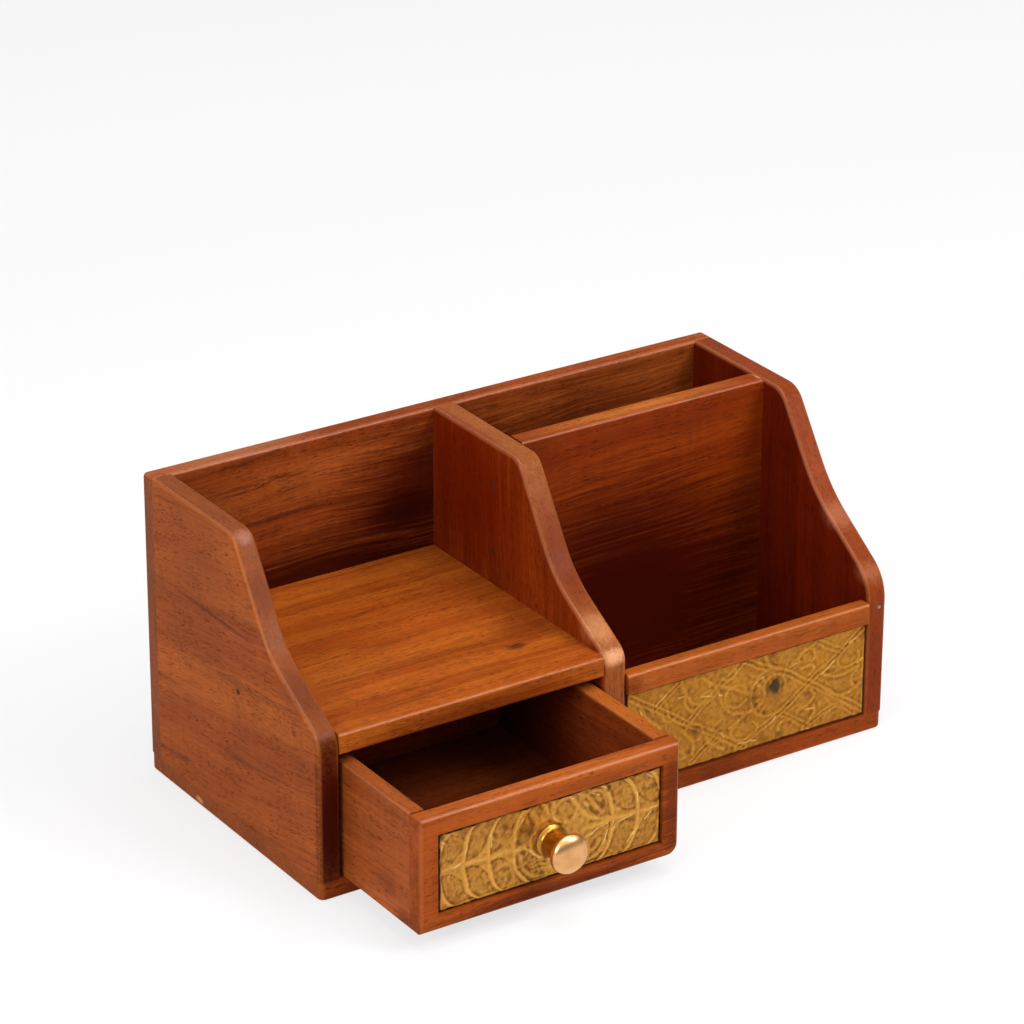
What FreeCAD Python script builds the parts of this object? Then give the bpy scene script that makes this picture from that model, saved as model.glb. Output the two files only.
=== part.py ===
import FreeCAD, Part

import math
import os
from collections import namedtuple

from FreeCAD import Vector

# Pen stand with one drawer: a small waxed hardwood desk organiser with two embossed brass panels.
# Every piece is a solid of its own, written to parts/NODE.step.
# Frame in millimetres: origin at the centre of the base board's underside, +X to the right along the
# front, -Y towards the person who uses it, +Z up. The drawer is modelled partly pulled out.

# Carcass boards
BODY_WIDTH = 212.0
BODY_DEPTH = 104.0
BODY_HEIGHT = 103.0
BASE_THICKNESS = 6.2
SIDE_THICKNESS = 7.5
BACK_THICKNESS = 6.4
DIVIDER_THICKNESS = 8.6
LEFT_BAY_WIDTH = 94.9
SHELF_UNDERSIDE = 47.7
SHELF_THICKNESS = 7.0
PARTITION_THICKNESS = 7.4
FRONT_COMPARTMENT_DEPTH = 58.8

# Curved outlines of the uprights: how far back from the front edge, how high and how round each
# corner is. The right side is cut by hand to a softer curve than the left side and the divider.
Outline = namedtuple("Outline", "lip bend crest")
Corner = namedtuple("Corner", "setback height radius")
FIRM_OUTLINE = Outline(Corner(0.0, 54.5, 7.0), Corner(28.2, 70.2, 38.0), Corner(48.7, BODY_HEIGHT, 7.0))
SOFT_OUTLINE = Outline(Corner(0.0, 53.6, 15.0), Corner(29.8, 73.8, 50.0), Corner(49.5, BODY_HEIGHT, 9.0))

# Low front of the right compartment
RAIL_DEPTH = 5.3
RAIL_HEIGHT = 6.8
RAIL_TOP = 46.4
RAIL_OVERHANG = 1.1
PANEL_SETBACK = 0.8
BRASS_THICKNESS = 0.4
BRASS_EDGE_GAP = 0.3
BRASS_FOOT_GAP = 0.8

# Drawer
DRAWER_LENGTH = 97.0
DRAWER_HEIGHT = 38.2
DRAWER_SIDE_GAP = 1.2
DRAWER_FLOOR_GAP = 0.2
DRAWER_PULLED_OUT = 42.7
DRAWER_FRONT_THICKNESS = 6.2
DRAWER_WALL_THICKNESS = 5.5
DRAWER_BOTTOM_THICKNESS = 3.0
DRAWER_BOTTOM_RAISE = 2.6
GROOVE_DEPTH = 2.0
RECESS_DEPTH = 1.6
RECESS_STILE = 6.1
RECESS_TOP_MARGIN = 6.2
RECESS_FOOT_MARGIN = 5.2

# Knob, its screw and washer
KNOB_HEIGHT = 24.4
KNOB_LENGTH = 13.3
KNOB_FLANGE_RADIUS = 5.2
KNOB_FLANGE_THICKNESS = 0.9
KNOB_WAIST_RADIUS = 4.4
KNOB_NECK_RADIUS = 4.6
KNOB_NECK_REACH = 7.4
KNOB_HEAD_RADIUS = 6.4
KNOB_RIM_REACH = 9.4
KNOB_RIM_THICKNESS = 0.8
SCREW_RADIUS = 2.0
SCREW_HOLE_RADIUS = 2.2
SCREW_ENGAGEMENT = 7.5
SCREW_BORE_DEPTH = 8.5
SCREW_HEAD_RADIUS = 3.6
SCREW_HEAD_HEIGHT = 2.2
SCREW_SLOT_WIDTH = 1.0
SCREW_SLOT_DEPTH = 1.1
WASHER_RADIUS = 4.5
WASHER_THICKNESS = 0.8

# Panel pins
PIN_LENGTH = 20.0
PIN_SHANK_RADIUS = 0.6
PIN_HEAD_RADIUS = 1.1
PIN_HEAD_THICKNESS = 0.5
PIN_POINT_LENGTH = 1.5
PIN_TIP_RADIUS = 0.1

# Eased edges
OUTLINE_EASE = 1.5
SHELF_EASE = 1.2
RAIL_EASE = 1.2
WALL_EASE = 1.0
BASE_EASE = 1.2
BASE_CORNER_RADIUS = 2.4
WORN_CORNER_RADIUS = 3.8

# Places worked out from the dimensions above
LEFT = -BODY_WIDTH / 2
RIGHT = BODY_WIDTH / 2
FRONT = -BODY_DEPTH / 2
REAR = BODY_DEPTH / 2
BACK_FACE = REAR - BACK_THICKNESS
LEFT_INNER = LEFT + SIDE_THICKNESS
RIGHT_INNER = RIGHT - SIDE_THICKNESS
DIVIDER_LEFT = LEFT_INNER + LEFT_BAY_WIDTH
DIVIDER_RIGHT = DIVIDER_LEFT + DIVIDER_THICKNESS
SHELF_TOP = SHELF_UNDERSIDE + SHELF_THICKNESS
PARTITION_FRONT = FRONT + FRONT_COMPARTMENT_DEPTH
PARTITION_REAR = PARTITION_FRONT + PARTITION_THICKNESS
RAIL_FRONT = FRONT - RAIL_OVERHANG
RAIL_REAR = RAIL_FRONT + RAIL_DEPTH
RAIL_UNDERSIDE = RAIL_TOP - RAIL_HEIGHT
PANEL_FRONT = FRONT + PANEL_SETBACK

DRAWER_FRONT = FRONT - DRAWER_PULLED_OUT
DRAWER_FRONT_BACK = DRAWER_FRONT + DRAWER_FRONT_THICKNESS
DRAWER_REAR = DRAWER_FRONT + DRAWER_LENGTH
DRAWER_LEFT = LEFT_INNER + DRAWER_SIDE_GAP
DRAWER_RIGHT = DIVIDER_LEFT - DRAWER_SIDE_GAP
DRAWER_FOOT = BASE_THICKNESS + DRAWER_FLOOR_GAP
DRAWER_TOP = DRAWER_FOOT + DRAWER_HEIGHT
DRAWER_INNER_LEFT = DRAWER_LEFT + DRAWER_WALL_THICKNESS
DRAWER_INNER_RIGHT = DRAWER_RIGHT - DRAWER_WALL_THICKNESS
DRAWER_BACK_FACE = DRAWER_REAR - DRAWER_WALL_THICKNESS
GROOVE_FOOT = DRAWER_FOOT + DRAWER_BOTTOM_RAISE
GROOVE_TOP = GROOVE_FOOT + DRAWER_BOTTOM_THICKNESS
RECESS_FLOOR = DRAWER_FRONT + RECESS_DEPTH
DRAWER_BRASS_FACE = RECESS_FLOOR - BRASS_THICKNESS
KNOB_X = (DRAWER_LEFT + DRAWER_RIGHT) / 2

# Where the panel pins are driven
SHELF_PIN_HEIGHT = SHELF_UNDERSIDE + SHELF_THICKNESS / 2
SHELF_PIN_DEPTHS = (-38.0, -4.8, 30.0)
PARTITION_PIN_HEIGHTS = (25.0, 66.0, 89.2)
PANEL_PIN_HEIGHTS = (14.0, 32.0, 43.0)
PANEL_PIN_DEPTH = -49.5
BASE_PIN_DEPTHS = (-36.0, -12.0, 32.0)
BASE_PIN_REACHES = (-60.0, 40.0, 80.0)
BACK_PIN_HEIGHTS = (22.0, 62.0, 90.0)
BACK_SHELF_PIN_REACHES = (-75.0, -30.0)
DRAWER_PIN_HEIGHTS = (16.0, 38.0)
DRAWER_BOTTOM_PIN_REACHES = (-72.0, -30.0)

TOLERANCE = 1e-3


def block(low, high):
    """Box between two opposite corners."""
    size = Vector(*high) - Vector(*low)
    return Part.makeBox(size.x, size.y, size.z, Vector(*low))


def rod(start, direction, length, radius):
    """Cylinder from a start point along a direction."""
    return Part.makeCylinder(radius, length, Vector(*start), Vector(*direction))


def lies_in(edge, axis, value):
    """True if the whole edge lies in the plane where the axis has that value."""
    bounds = edge.BoundBox
    low = getattr(bounds, axis + "Min")
    high = getattr(bounds, axis + "Max")
    return abs(low - value) < TOLERANCE and abs(high - value) < TOLERANCE


def eased(shape, radius, wanted):
    """Round over the edges that the test picks out."""
    edges = [edge for edge in shape.Edges if wanted(edge)]
    return shape.makeFillet(radius, edges)


def rounded_path(corners):
    """Edges of an open path through (point, radius) corners, with an arc at each inner corner."""
    edges = []
    last = corners[0][0]
    for index in range(1, len(corners) - 1):
        point, radius = corners[index]
        before = (corners[index - 1][0] - point).normalize()
        after = (corners[index + 1][0] - point).normalize()
        half_angle = before.getAngle(after) / 2
        reach = radius / math.tan(half_angle)
        start = point + before * reach
        end = point + after * reach
        bisector = (before + after).normalize()
        middle = point + bisector * (radius / math.sin(half_angle) - radius)
        edges.append(Part.LineSegment(last, start).toShape())
        edges.append(Part.Arc(start, middle, end).toShape())
        last = end
    edges.append(Part.LineSegment(last, corners[-1][0]).toShape())
    return edges


def outline_board(left, thickness, outline):
    """Side or divider: low lip in front, a slope that bends upwards, a crest and a level top."""
    front_foot = Vector(left, FRONT, BASE_THICKNESS)
    rear_top = Vector(left, BACK_FACE, BODY_HEIGHT)
    rear_foot = Vector(left, BACK_FACE, BASE_THICKNESS)
    corners = [(Vector(left, FRONT + corner.setback, corner.height), corner.radius) for corner in outline]
    edges = rounded_path([(front_foot, 0.0)] + corners + [(rear_top, 0.0)])
    edges.append(Part.LineSegment(rear_top, rear_foot).toShape())
    edges.append(Part.LineSegment(rear_foot, front_foot).toShape())
    board = Part.Face(Part.Wire(edges)).extrude(Vector(thickness, 0, 0))

    def on_outline(edge):
        on_a_face = lies_in(edge, "X", left) or lies_in(edge, "X", left + thickness)
        hidden = lies_in(edge, "Y", BACK_FACE) or lies_in(edge, "Z", BASE_THICKNESS)
        return on_a_face and not hidden

    return eased(board, OUTLINE_EASE, on_outline)


def panel_pin(head_centre, direction):
    """Round nail whose head is flush with the board at the given point."""
    start = Vector(*head_centre)
    along = Vector(*direction)
    head = rod(start, along, PIN_HEAD_THICKNESS, PIN_HEAD_RADIUS)
    shank = rod(start, along, PIN_LENGTH - PIN_POINT_LENGTH, PIN_SHANK_RADIUS)
    point_start = start + along * (PIN_LENGTH - PIN_POINT_LENGTH)
    point = Part.makeCone(PIN_SHANK_RADIUS, PIN_TIP_RADIUS, PIN_POINT_LENGTH, point_start, along)
    return head.fuse([shank, point]).removeSplitter()


def mirrored_pins(left_face, right_face, depth, heights):
    """Pins driven inwards from a left face and from a right face, at one depth and several heights."""
    pins = [panel_pin((left_face, depth, height), (1, 0, 0)) for height in heights]
    pins += [panel_pin((right_face, depth, height), (-1, 0, 0)) for height in heights]
    return pins


def drilled(board, *pin_groups):
    """Board with the holes that the given groups of pins make in it."""
    pins = [pin for group in pin_groups for pin in group]
    return board.cut(pins)


def shelf_pins():
    """Pins through the left side and the divider into the ends of the tray shelf."""
    pins = []
    for depth in SHELF_PIN_DEPTHS:
        pins += mirrored_pins(LEFT, DIVIDER_RIGHT, depth, [SHELF_PIN_HEIGHT])
    return pins


def partition_pins():
    """Pins through the divider and the right side into the ends of the pen partition."""
    depth = (PARTITION_FRONT + PARTITION_REAR) / 2
    return mirrored_pins(DIVIDER_LEFT, RIGHT, depth, PARTITION_PIN_HEIGHTS)


def panel_pins():
    """Pins through the divider and the right side into the front panel and its rail."""
    return mirrored_pins(DIVIDER_LEFT, RIGHT, PANEL_PIN_DEPTH, PANEL_PIN_HEIGHTS)


def upright_centres():
    """X of the middle of the left side, the divider and the right side."""
    half_side = SIDE_THICKNESS / 2
    return (LEFT + half_side, (DIVIDER_LEFT + DIVIDER_RIGHT) / 2, RIGHT - half_side)


def base_pins():
    """Pins up through the base board into the uprights and the back board."""
    back_middle = (BACK_FACE + REAR) / 2
    pins = [panel_pin((x, y, 0), (0, 0, 1)) for x in upright_centres() for y in BASE_PIN_DEPTHS]
    pins += [panel_pin((x, back_middle, 0), (0, 0, 1)) for x in BASE_PIN_REACHES]
    return pins


def back_pins():
    """Pins forwards through the back board into the uprights and the tray shelf."""
    pins = [panel_pin((x, REAR, z), (0, -1, 0)) for x in upright_centres() for z in BACK_PIN_HEIGHTS]
    pins += [panel_pin((x, REAR, SHELF_PIN_HEIGHT), (0, -1, 0)) for x in BACK_SHELF_PIN_REACHES]
    return pins


def drawer_front_pins():
    """Pins through the drawer front into the ends of the drawer's side walls."""
    half_wall = DRAWER_WALL_THICKNESS / 2
    reaches = (DRAWER_LEFT + half_wall, DRAWER_RIGHT - half_wall)
    return [panel_pin((x, DRAWER_FRONT, z), (0, 1, 0)) for x in reaches for z in DRAWER_PIN_HEIGHTS]


def drawer_back_pins():
    """Pins through the drawer's side walls into the ends of its back."""
    depth = (DRAWER_BACK_FACE + DRAWER_REAR) / 2
    return mirrored_pins(DRAWER_LEFT, DRAWER_RIGHT, depth, DRAWER_PIN_HEIGHTS)


def drawer_bottom_pins():
    """Pins up through the drawer bottom into its back."""
    depth = (DRAWER_BACK_FACE + DRAWER_REAR) / 2
    return [panel_pin((x, depth, GROOVE_FOOT), (0, 0, 1)) for x in DRAWER_BOTTOM_PIN_REACHES]


def base_board():
    """Flat board under the whole carcass, with rounded corners and an eased bottom rim."""
    board = block((LEFT, FRONT, 0), (RIGHT, REAR, BASE_THICKNESS))

    def corner(edge):
        return not (lies_in(edge, "Z", 0) or lies_in(edge, "Z", BASE_THICKNESS))

    def bottom_rim(edge):
        return lies_in(edge, "Z", 0)

    board = eased(board, BASE_CORNER_RADIUS, corner)
    return eased(board, BASE_EASE, bottom_rim)


def back_board():
    """Board across the full width behind the uprights, its top and rear corners eased."""
    board = block((LEFT, BACK_FACE, BASE_THICKNESS), (RIGHT, REAR, BODY_HEIGHT))

    def top_and_rear_corners(edge):
        on_an_end = lies_in(edge, "X", LEFT) or lies_in(edge, "X", RIGHT)
        rear_corner = on_an_end and lies_in(edge, "Y", REAR)
        return lies_in(edge, "Z", BODY_HEIGHT) or rear_corner

    return eased(board, OUTLINE_EASE, top_and_rear_corners)


def tray_shelf():
    """Shelf over the drawer bay, which is the floor of the letter tray."""
    board = block((LEFT_INNER, FRONT, SHELF_UNDERSIDE), (DIVIDER_LEFT, BACK_FACE, SHELF_TOP))

    def front_rims(edge):
        level = lies_in(edge, "Z", SHELF_TOP) or lies_in(edge, "Z", SHELF_UNDERSIDE)
        return level and lies_in(edge, "Y", FRONT)

    return eased(board, SHELF_EASE, front_rims)


def pen_partition():
    """Upright board between the front compartment and the pen slot."""
    low = (DIVIDER_RIGHT, PARTITION_FRONT, BASE_THICKNESS)
    board = block(low, (RIGHT_INNER, PARTITION_REAR, BODY_HEIGHT))

    def top_rims(edge):
        lengthwise = lies_in(edge, "Y", PARTITION_FRONT) or lies_in(edge, "Y", PARTITION_REAR)
        return lengthwise and lies_in(edge, "Z", BODY_HEIGHT)

    return eased(board, SHELF_EASE, top_rims)


def front_rail():
    """Moulding along the top of the front panel, proud of the brass below it."""
    rail = block((DIVIDER_RIGHT, RAIL_FRONT, RAIL_UNDERSIDE), (RIGHT_INNER, RAIL_REAR, RAIL_TOP))

    def top_rims(edge):
        lengthwise = lies_in(edge, "Y", RAIL_FRONT) or lies_in(edge, "Y", RAIL_REAR)
        return lengthwise and lies_in(edge, "Z", RAIL_TOP)

    return eased(rail, RAIL_EASE, top_rims)


def front_panel():
    """Thin board under the rail that carries the brass plate."""
    low = (DIVIDER_RIGHT, PANEL_FRONT, BASE_THICKNESS)
    return block(low, (RIGHT_INNER, RAIL_REAR, RAIL_UNDERSIDE))


def front_brass_plate():
    """Sheet of embossed brass over the front panel, drawn as its plain sheet."""
    low = (DIVIDER_RIGHT + BRASS_EDGE_GAP, PANEL_FRONT - BRASS_THICKNESS, BASE_THICKNESS + BRASS_FOOT_GAP)
    return block(low, (RIGHT_INNER - BRASS_EDGE_GAP, PANEL_FRONT, RAIL_UNDERSIDE))


def drawer_front():
    """Drawer front with a shallow recess for its brass and a groove behind for the bottom."""
    board = block((DRAWER_LEFT, DRAWER_FRONT, DRAWER_FOOT), (DRAWER_RIGHT, DRAWER_FRONT_BACK, DRAWER_TOP))

    def lower_right_corner(edge):
        return lies_in(edge, "X", DRAWER_RIGHT) and lies_in(edge, "Z", DRAWER_FOOT)

    board = eased(board, WORN_CORNER_RADIUS, lower_right_corner)

    def face_rim(edge):
        top_rear = lies_in(edge, "Y", DRAWER_FRONT_BACK) and lies_in(edge, "Z", DRAWER_TOP)
        return lies_in(edge, "Y", DRAWER_FRONT) or top_rear

    board = eased(board, OUTLINE_EASE, face_rim)
    recess = block(
        (DRAWER_LEFT + RECESS_STILE, DRAWER_FRONT, DRAWER_FOOT + RECESS_FOOT_MARGIN),
        (DRAWER_RIGHT - RECESS_STILE, RECESS_FLOOR, DRAWER_TOP - RECESS_TOP_MARGIN),
    )
    groove = block(
        (DRAWER_INNER_LEFT, DRAWER_FRONT_BACK - GROOVE_DEPTH, GROOVE_FOOT),
        (DRAWER_INNER_RIGHT, DRAWER_FRONT_BACK, GROOVE_TOP),
    )
    return board.cut([recess, groove, knob_hole()])


def drawer_wall(outer, inner):
    """Side wall of the drawer between its outer and inner face, grooved for the bottom."""
    low_x, high_x = min(outer, inner), max(outer, inner)
    wall = block((low_x, DRAWER_FRONT_BACK, DRAWER_FOOT), (high_x, DRAWER_REAR, DRAWER_TOP))

    def top_rims(edge):
        lengthwise = lies_in(edge, "X", low_x) or lies_in(edge, "X", high_x)
        return lengthwise and lies_in(edge, "Z", DRAWER_TOP)

    wall = eased(wall, WALL_EASE, top_rims)
    groove_end = inner + math.copysign(GROOVE_DEPTH, outer - inner)
    groove = block(
        (min(inner, groove_end), DRAWER_FRONT_BACK, GROOVE_FOOT),
        (max(inner, groove_end), DRAWER_REAR, GROOVE_TOP),
    )
    return wall.cut(groove)


def drawer_back():
    """Back of the drawer, standing on the bottom between the side walls."""
    board = block((DRAWER_INNER_LEFT, DRAWER_BACK_FACE, GROOVE_TOP), (DRAWER_INNER_RIGHT, DRAWER_REAR, DRAWER_TOP))

    def top_rims(edge):
        lengthwise = lies_in(edge, "Y", DRAWER_BACK_FACE) or lies_in(edge, "Y", DRAWER_REAR)
        return lengthwise and lies_in(edge, "Z", DRAWER_TOP)

    return eased(board, WALL_EASE, top_rims)


def drawer_bottom():
    """Thin bottom held in the grooves of the front and the side walls."""
    main = block(
        (DRAWER_INNER_LEFT - GROOVE_DEPTH, DRAWER_FRONT_BACK, GROOVE_FOOT),
        (DRAWER_INNER_RIGHT + GROOVE_DEPTH, DRAWER_REAR, GROOVE_TOP),
    )
    tongue = block(
        (DRAWER_INNER_LEFT, DRAWER_FRONT_BACK - GROOVE_DEPTH, GROOVE_FOOT),
        (DRAWER_INNER_RIGHT, DRAWER_FRONT_BACK, GROOVE_TOP),
    )
    return main.fuse(tongue).removeSplitter()


def drawer_brass_plate():
    """Sheet of embossed brass in the drawer front's recess, drawn as its plain sheet."""
    plate = block(
        (
            DRAWER_LEFT + RECESS_STILE + BRASS_EDGE_GAP,
            DRAWER_BRASS_FACE,
            DRAWER_FOOT + RECESS_FOOT_MARGIN + BRASS_EDGE_GAP,
        ),
        (
            DRAWER_RIGHT - RECESS_STILE - BRASS_EDGE_GAP,
            RECESS_FLOOR,
            DRAWER_TOP - RECESS_TOP_MARGIN - BRASS_EDGE_GAP,
        ),
    )
    return plate.cut(knob_hole())


def knob_hole():
    """Clearance hole for the knob's screw through the drawer front and its brass."""
    length = DRAWER_FRONT_BACK - DRAWER_FRONT
    return rod((KNOB_X, DRAWER_FRONT, KNOB_HEIGHT), (0, 1, 0), length, SCREW_HOLE_RADIUS)


def knob_point(reach, radius):
    """Point of the knob's half profile, a distance out from the brass and off its axis."""
    return Vector(KNOB_X + radius, DRAWER_BRASS_FACE - reach, KNOB_HEIGHT)


def drawer_knob():
    """Turned brass knob: thin flange, stout neck and a low domed head, bored for its screw."""
    centre = knob_point(0, 0)
    flange_foot = knob_point(0, KNOB_FLANGE_RADIUS)
    flange_edge = knob_point(KNOB_FLANGE_THICKNESS, KNOB_FLANGE_RADIUS)
    waist = knob_point((KNOB_FLANGE_THICKNESS + KNOB_NECK_REACH) / 2, KNOB_WAIST_RADIUS)
    neck = knob_point(KNOB_NECK_REACH, KNOB_NECK_RADIUS)
    rim_foot = knob_point(KNOB_RIM_REACH, KNOB_HEAD_RADIUS)
    rim = knob_point(KNOB_RIM_REACH + KNOB_RIM_THICKNESS, KNOB_HEAD_RADIUS)
    tip = knob_point(KNOB_LENGTH, 0)
    dome_height = KNOB_LENGTH - KNOB_RIM_REACH - KNOB_RIM_THICKNESS
    dome_radius = (dome_height ** 2 + KNOB_HEAD_RADIUS ** 2) / (2 * dome_height)
    half_angle = math.asin(KNOB_HEAD_RADIUS / dome_radius) / 2
    dome_middle = knob_point(
        KNOB_LENGTH - dome_radius * (1 - math.cos(half_angle)),
        dome_radius * math.sin(half_angle),
    )
    edges = [
        Part.LineSegment(centre, flange_foot).toShape(),
        Part.LineSegment(flange_foot, flange_edge).toShape(),
        Part.Arc(flange_edge, waist, neck).toShape(),
        Part.LineSegment(neck, rim_foot).toShape(),
        Part.LineSegment(rim_foot, rim).toShape(),
        Part.Arc(rim, dome_middle, tip).toShape(),
        Part.LineSegment(tip, centre).toShape(),
    ]
    axis = Vector(0, -1, 0)
    turned = Part.Face(Part.Wire(edges)).revolve(centre, axis, 360)
    return turned.cut(rod(centre, axis, SCREW_BORE_DEPTH, SCREW_RADIUS))


def knob_screw():
    """Slotted screw from inside the drawer through the washer and the front into the knob."""
    seat = DRAWER_FRONT_BACK + WASHER_THICKNESS
    seat_centre = (KNOB_X, seat, KNOB_HEIGHT)
    shank_length = seat - DRAWER_BRASS_FACE + SCREW_ENGAGEMENT
    shank = rod(seat_centre, (0, -1, 0), shank_length, SCREW_RADIUS)
    head = rod(seat_centre, (0, 1, 0), SCREW_HEAD_HEIGHT, SCREW_HEAD_RADIUS)
    head_top = seat + SCREW_HEAD_HEIGHT
    slot = block(
        (KNOB_X - SCREW_HEAD_RADIUS, head_top - SCREW_SLOT_DEPTH, KNOB_HEIGHT - SCREW_SLOT_WIDTH / 2),
        (KNOB_X + SCREW_HEAD_RADIUS, head_top, KNOB_HEIGHT + SCREW_SLOT_WIDTH / 2),
    )
    return head.fuse(shank).removeSplitter().cut(slot)


def knob_washer():
    """Flat washer between the screw's head and the drawer front."""
    centre = (KNOB_X, DRAWER_FRONT_BACK, KNOB_HEIGHT)
    disc = rod(centre, (0, 1, 0), WASHER_THICKNESS, WASHER_RADIUS)
    return disc.cut(rod(centre, (0, 1, 0), WASHER_THICKNESS, SCREW_HOLE_RADIUS))


def carcass():
    """Every piece of the fixed body by node name."""
    shelf, partition, panel = shelf_pins(), partition_pins(), panel_pins()
    base, back = base_pins(), back_pins()
    left_side = outline_board(LEFT, SIDE_THICKNESS, FIRM_OUTLINE)
    divider = outline_board(DIVIDER_LEFT, DIVIDER_THICKNESS, FIRM_OUTLINE)
    right_side = outline_board(RIGHT_INNER, SIDE_THICKNESS, SOFT_OUTLINE)
    return {
        "base_board": drilled(base_board(), base),
        "left_side": drilled(left_side, shelf, base, back),
        "divider": drilled(divider, shelf, partition, panel, base, back),
        "right_side": drilled(right_side, partition, panel, base, back),
        "back_board": drilled(back_board(), base, back),
        "tray_shelf": drilled(tray_shelf(), shelf, back),
        "pen_partition": drilled(pen_partition(), partition),
        "front_rail": drilled(front_rail(), panel),
        "front_panel": drilled(front_panel(), panel),
        "front_brass_plate": front_brass_plate(),
        "shelf_pins": Part.makeCompound(shelf),
        "partition_pins": Part.makeCompound(partition),
        "panel_pins": Part.makeCompound(panel),
        "base_pins": Part.makeCompound(base),
        "back_pins": Part.makeCompound(back),
    }


def drawer():
    """Every piece of the drawer by node name."""
    front, back, bottom = drawer_front_pins(), drawer_back_pins(), drawer_bottom_pins()
    left_wall = drawer_wall(DRAWER_LEFT, DRAWER_INNER_LEFT)
    right_wall = drawer_wall(DRAWER_RIGHT, DRAWER_INNER_RIGHT)
    return {
        "drawer_front": drilled(drawer_front(), front),
        "drawer_left_wall": drilled(left_wall, front, back),
        "drawer_right_wall": drilled(right_wall, front, back),
        "drawer_back": drilled(drawer_back(), back, bottom),
        "drawer_bottom": drilled(drawer_bottom(), bottom),
        "drawer_brass_plate": drawer_brass_plate(),
        "drawer_knob": drawer_knob(),
        "knob_screw": knob_screw(),
        "knob_washer": knob_washer(),
        "drawer_front_pins": Part.makeCompound(front),
        "drawer_back_pins": Part.makeCompound(back),
        "drawer_bottom_pins": Part.makeCompound(bottom),
    }


def main():
    """Write one STEP file per piece and report what each one measures."""
    os.makedirs("parts", exist_ok=True)
    for name, shape in {**carcass(), **drawer()}.items():
        shape.exportStep("parts/" + name + ".step")
        print(name, "solids", len(shape.Solids), "valid", shape.isValid(), "mm3", round(shape.Volume, 1))


if __name__ == "__main__":
    main()
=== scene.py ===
"""Looks of a wooden pen stand with one drawer and two embossed brass fronts.

Lengths are in millimetres and become metres where a mesh or the camera is
made. Only the lamps, the floor and the camera's clipping are in metres
throughout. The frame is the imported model's own: X to the right, Y to the
back, Z up, origin in the middle of the base's underside. Colours of the wood
are written as a screen shows them, with parts of 0 to 255.
"""

import logging
import math
from dataclasses import dataclass, field, replace
from enum import Enum
from typing import ClassVar, Dict, List, Optional, Sequence, Tuple, Union

import bpy
import numpy as np
from mathutils import Euler, Matrix, Vector


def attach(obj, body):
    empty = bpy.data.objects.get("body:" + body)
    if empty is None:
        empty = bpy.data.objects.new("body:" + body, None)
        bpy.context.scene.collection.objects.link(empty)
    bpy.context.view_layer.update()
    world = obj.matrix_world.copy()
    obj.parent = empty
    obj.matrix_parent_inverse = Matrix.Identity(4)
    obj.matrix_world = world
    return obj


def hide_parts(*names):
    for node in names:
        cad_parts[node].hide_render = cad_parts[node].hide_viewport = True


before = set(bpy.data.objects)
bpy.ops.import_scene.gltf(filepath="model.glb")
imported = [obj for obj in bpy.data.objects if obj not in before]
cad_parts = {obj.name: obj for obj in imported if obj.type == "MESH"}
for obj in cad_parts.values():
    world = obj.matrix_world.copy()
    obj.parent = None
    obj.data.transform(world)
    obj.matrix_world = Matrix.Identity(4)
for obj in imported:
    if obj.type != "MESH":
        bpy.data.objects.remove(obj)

LOG = logging.getLogger("pen_stand")
MM = 0.001
Colour = Tuple[float, float, float]
Screen = Tuple[int, int, int]
Point2 = Tuple[float, float]
Point3 = Tuple[float, float, float]
Line = Tuple[Point2, ...]
# Centre, radius, height over width, and first and last angle in degrees.
Ring = Tuple[Point2, float, float, Point2]
# Foot, tip and half of the width.
Leaf = Tuple[Point2, Point2, float]
# Centre, radius and depth.
Blot = Tuple[Point2, float, float]


def tint(red: int, green: int, blue: int) -> Colour:
    """Turns a screen colour of 0 to 255 into the linear colour a shader takes.

    Args:
        red: Red part on the screen.
        green: Green part on the screen.
        blue: Blue part on the screen.

    Returns:
        The linear colour, each part from 0 to 1.
    """
    screen = np.array((red, green, blue)) / 255.0
    linear = np.where(
        screen <= 0.04045, screen / 12.92, ((screen + 0.055) / 1.055) ** 2.4
    )
    return tuple(float(part) for part in linear)


class Socket:
    """A shader output that Python arithmetic can be written on."""

    def __init__(self, shader: "Shader", link: bpy.types.NodeSocket) -> None:
        """Keeps the shader and the node output that this stands for."""
        self.shader = shader
        self.link = link

    def _math(self, operation: str, *values: "Wire") -> "Socket":
        """Adds one Math node, fed with the values in their order."""
        wires = dict(enumerate(values))
        return self.shader.add("ShaderNodeMath", {"operation": operation}, wires)

    def __add__(self, other: "Wire") -> "Socket":
        """Sum."""
        return self._math("ADD", self, other)

    def __radd__(self, other: "Wire") -> "Socket":
        """Sum, with the number written first."""
        return self._math("ADD", other, self)

    def __sub__(self, other: "Wire") -> "Socket":
        """Difference."""
        return self._math("SUBTRACT", self, other)

    def __rsub__(self, other: "Wire") -> "Socket":
        """Difference, with the number written first."""
        return self._math("SUBTRACT", other, self)

    def __mul__(self, other: "Wire") -> "Socket":
        """Product."""
        return self._math("MULTIPLY", self, other)

    def __rmul__(self, other: "Wire") -> "Socket":
        """Product, with the number written first."""
        return self._math("MULTIPLY", other, self)

    def __abs__(self) -> "Socket":
        """Size without its sign."""
        return self._math("ABSOLUTE", self)

    def most(self, other: "Wire") -> "Socket":
        """The larger of the two."""
        return self._math("MAXIMUM", self, other)

    def step(self, low: float, high: float) -> "Socket":
        """A soft step.

        Args:
            low: Value where the step starts from 0.
            high: Value where the step has reached 1, below low for a fall.

        Returns:
            0 before low, 1 after high, and a smooth change between them.
        """
        settings = {"interpolation_type": "SMOOTHSTEP", "clamp": True}
        if low <= high:
            ends = {0: self, 1: low, 2: high, 3: 0.0, 4: 1.0}
        else:
            ends = {0: self, 1: high, 2: low, 3: 1.0, 4: 0.0}
        return self.shader.add("ShaderNodeMapRange", settings, ends)


Wire = Union[Socket, float, Colour]


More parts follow.
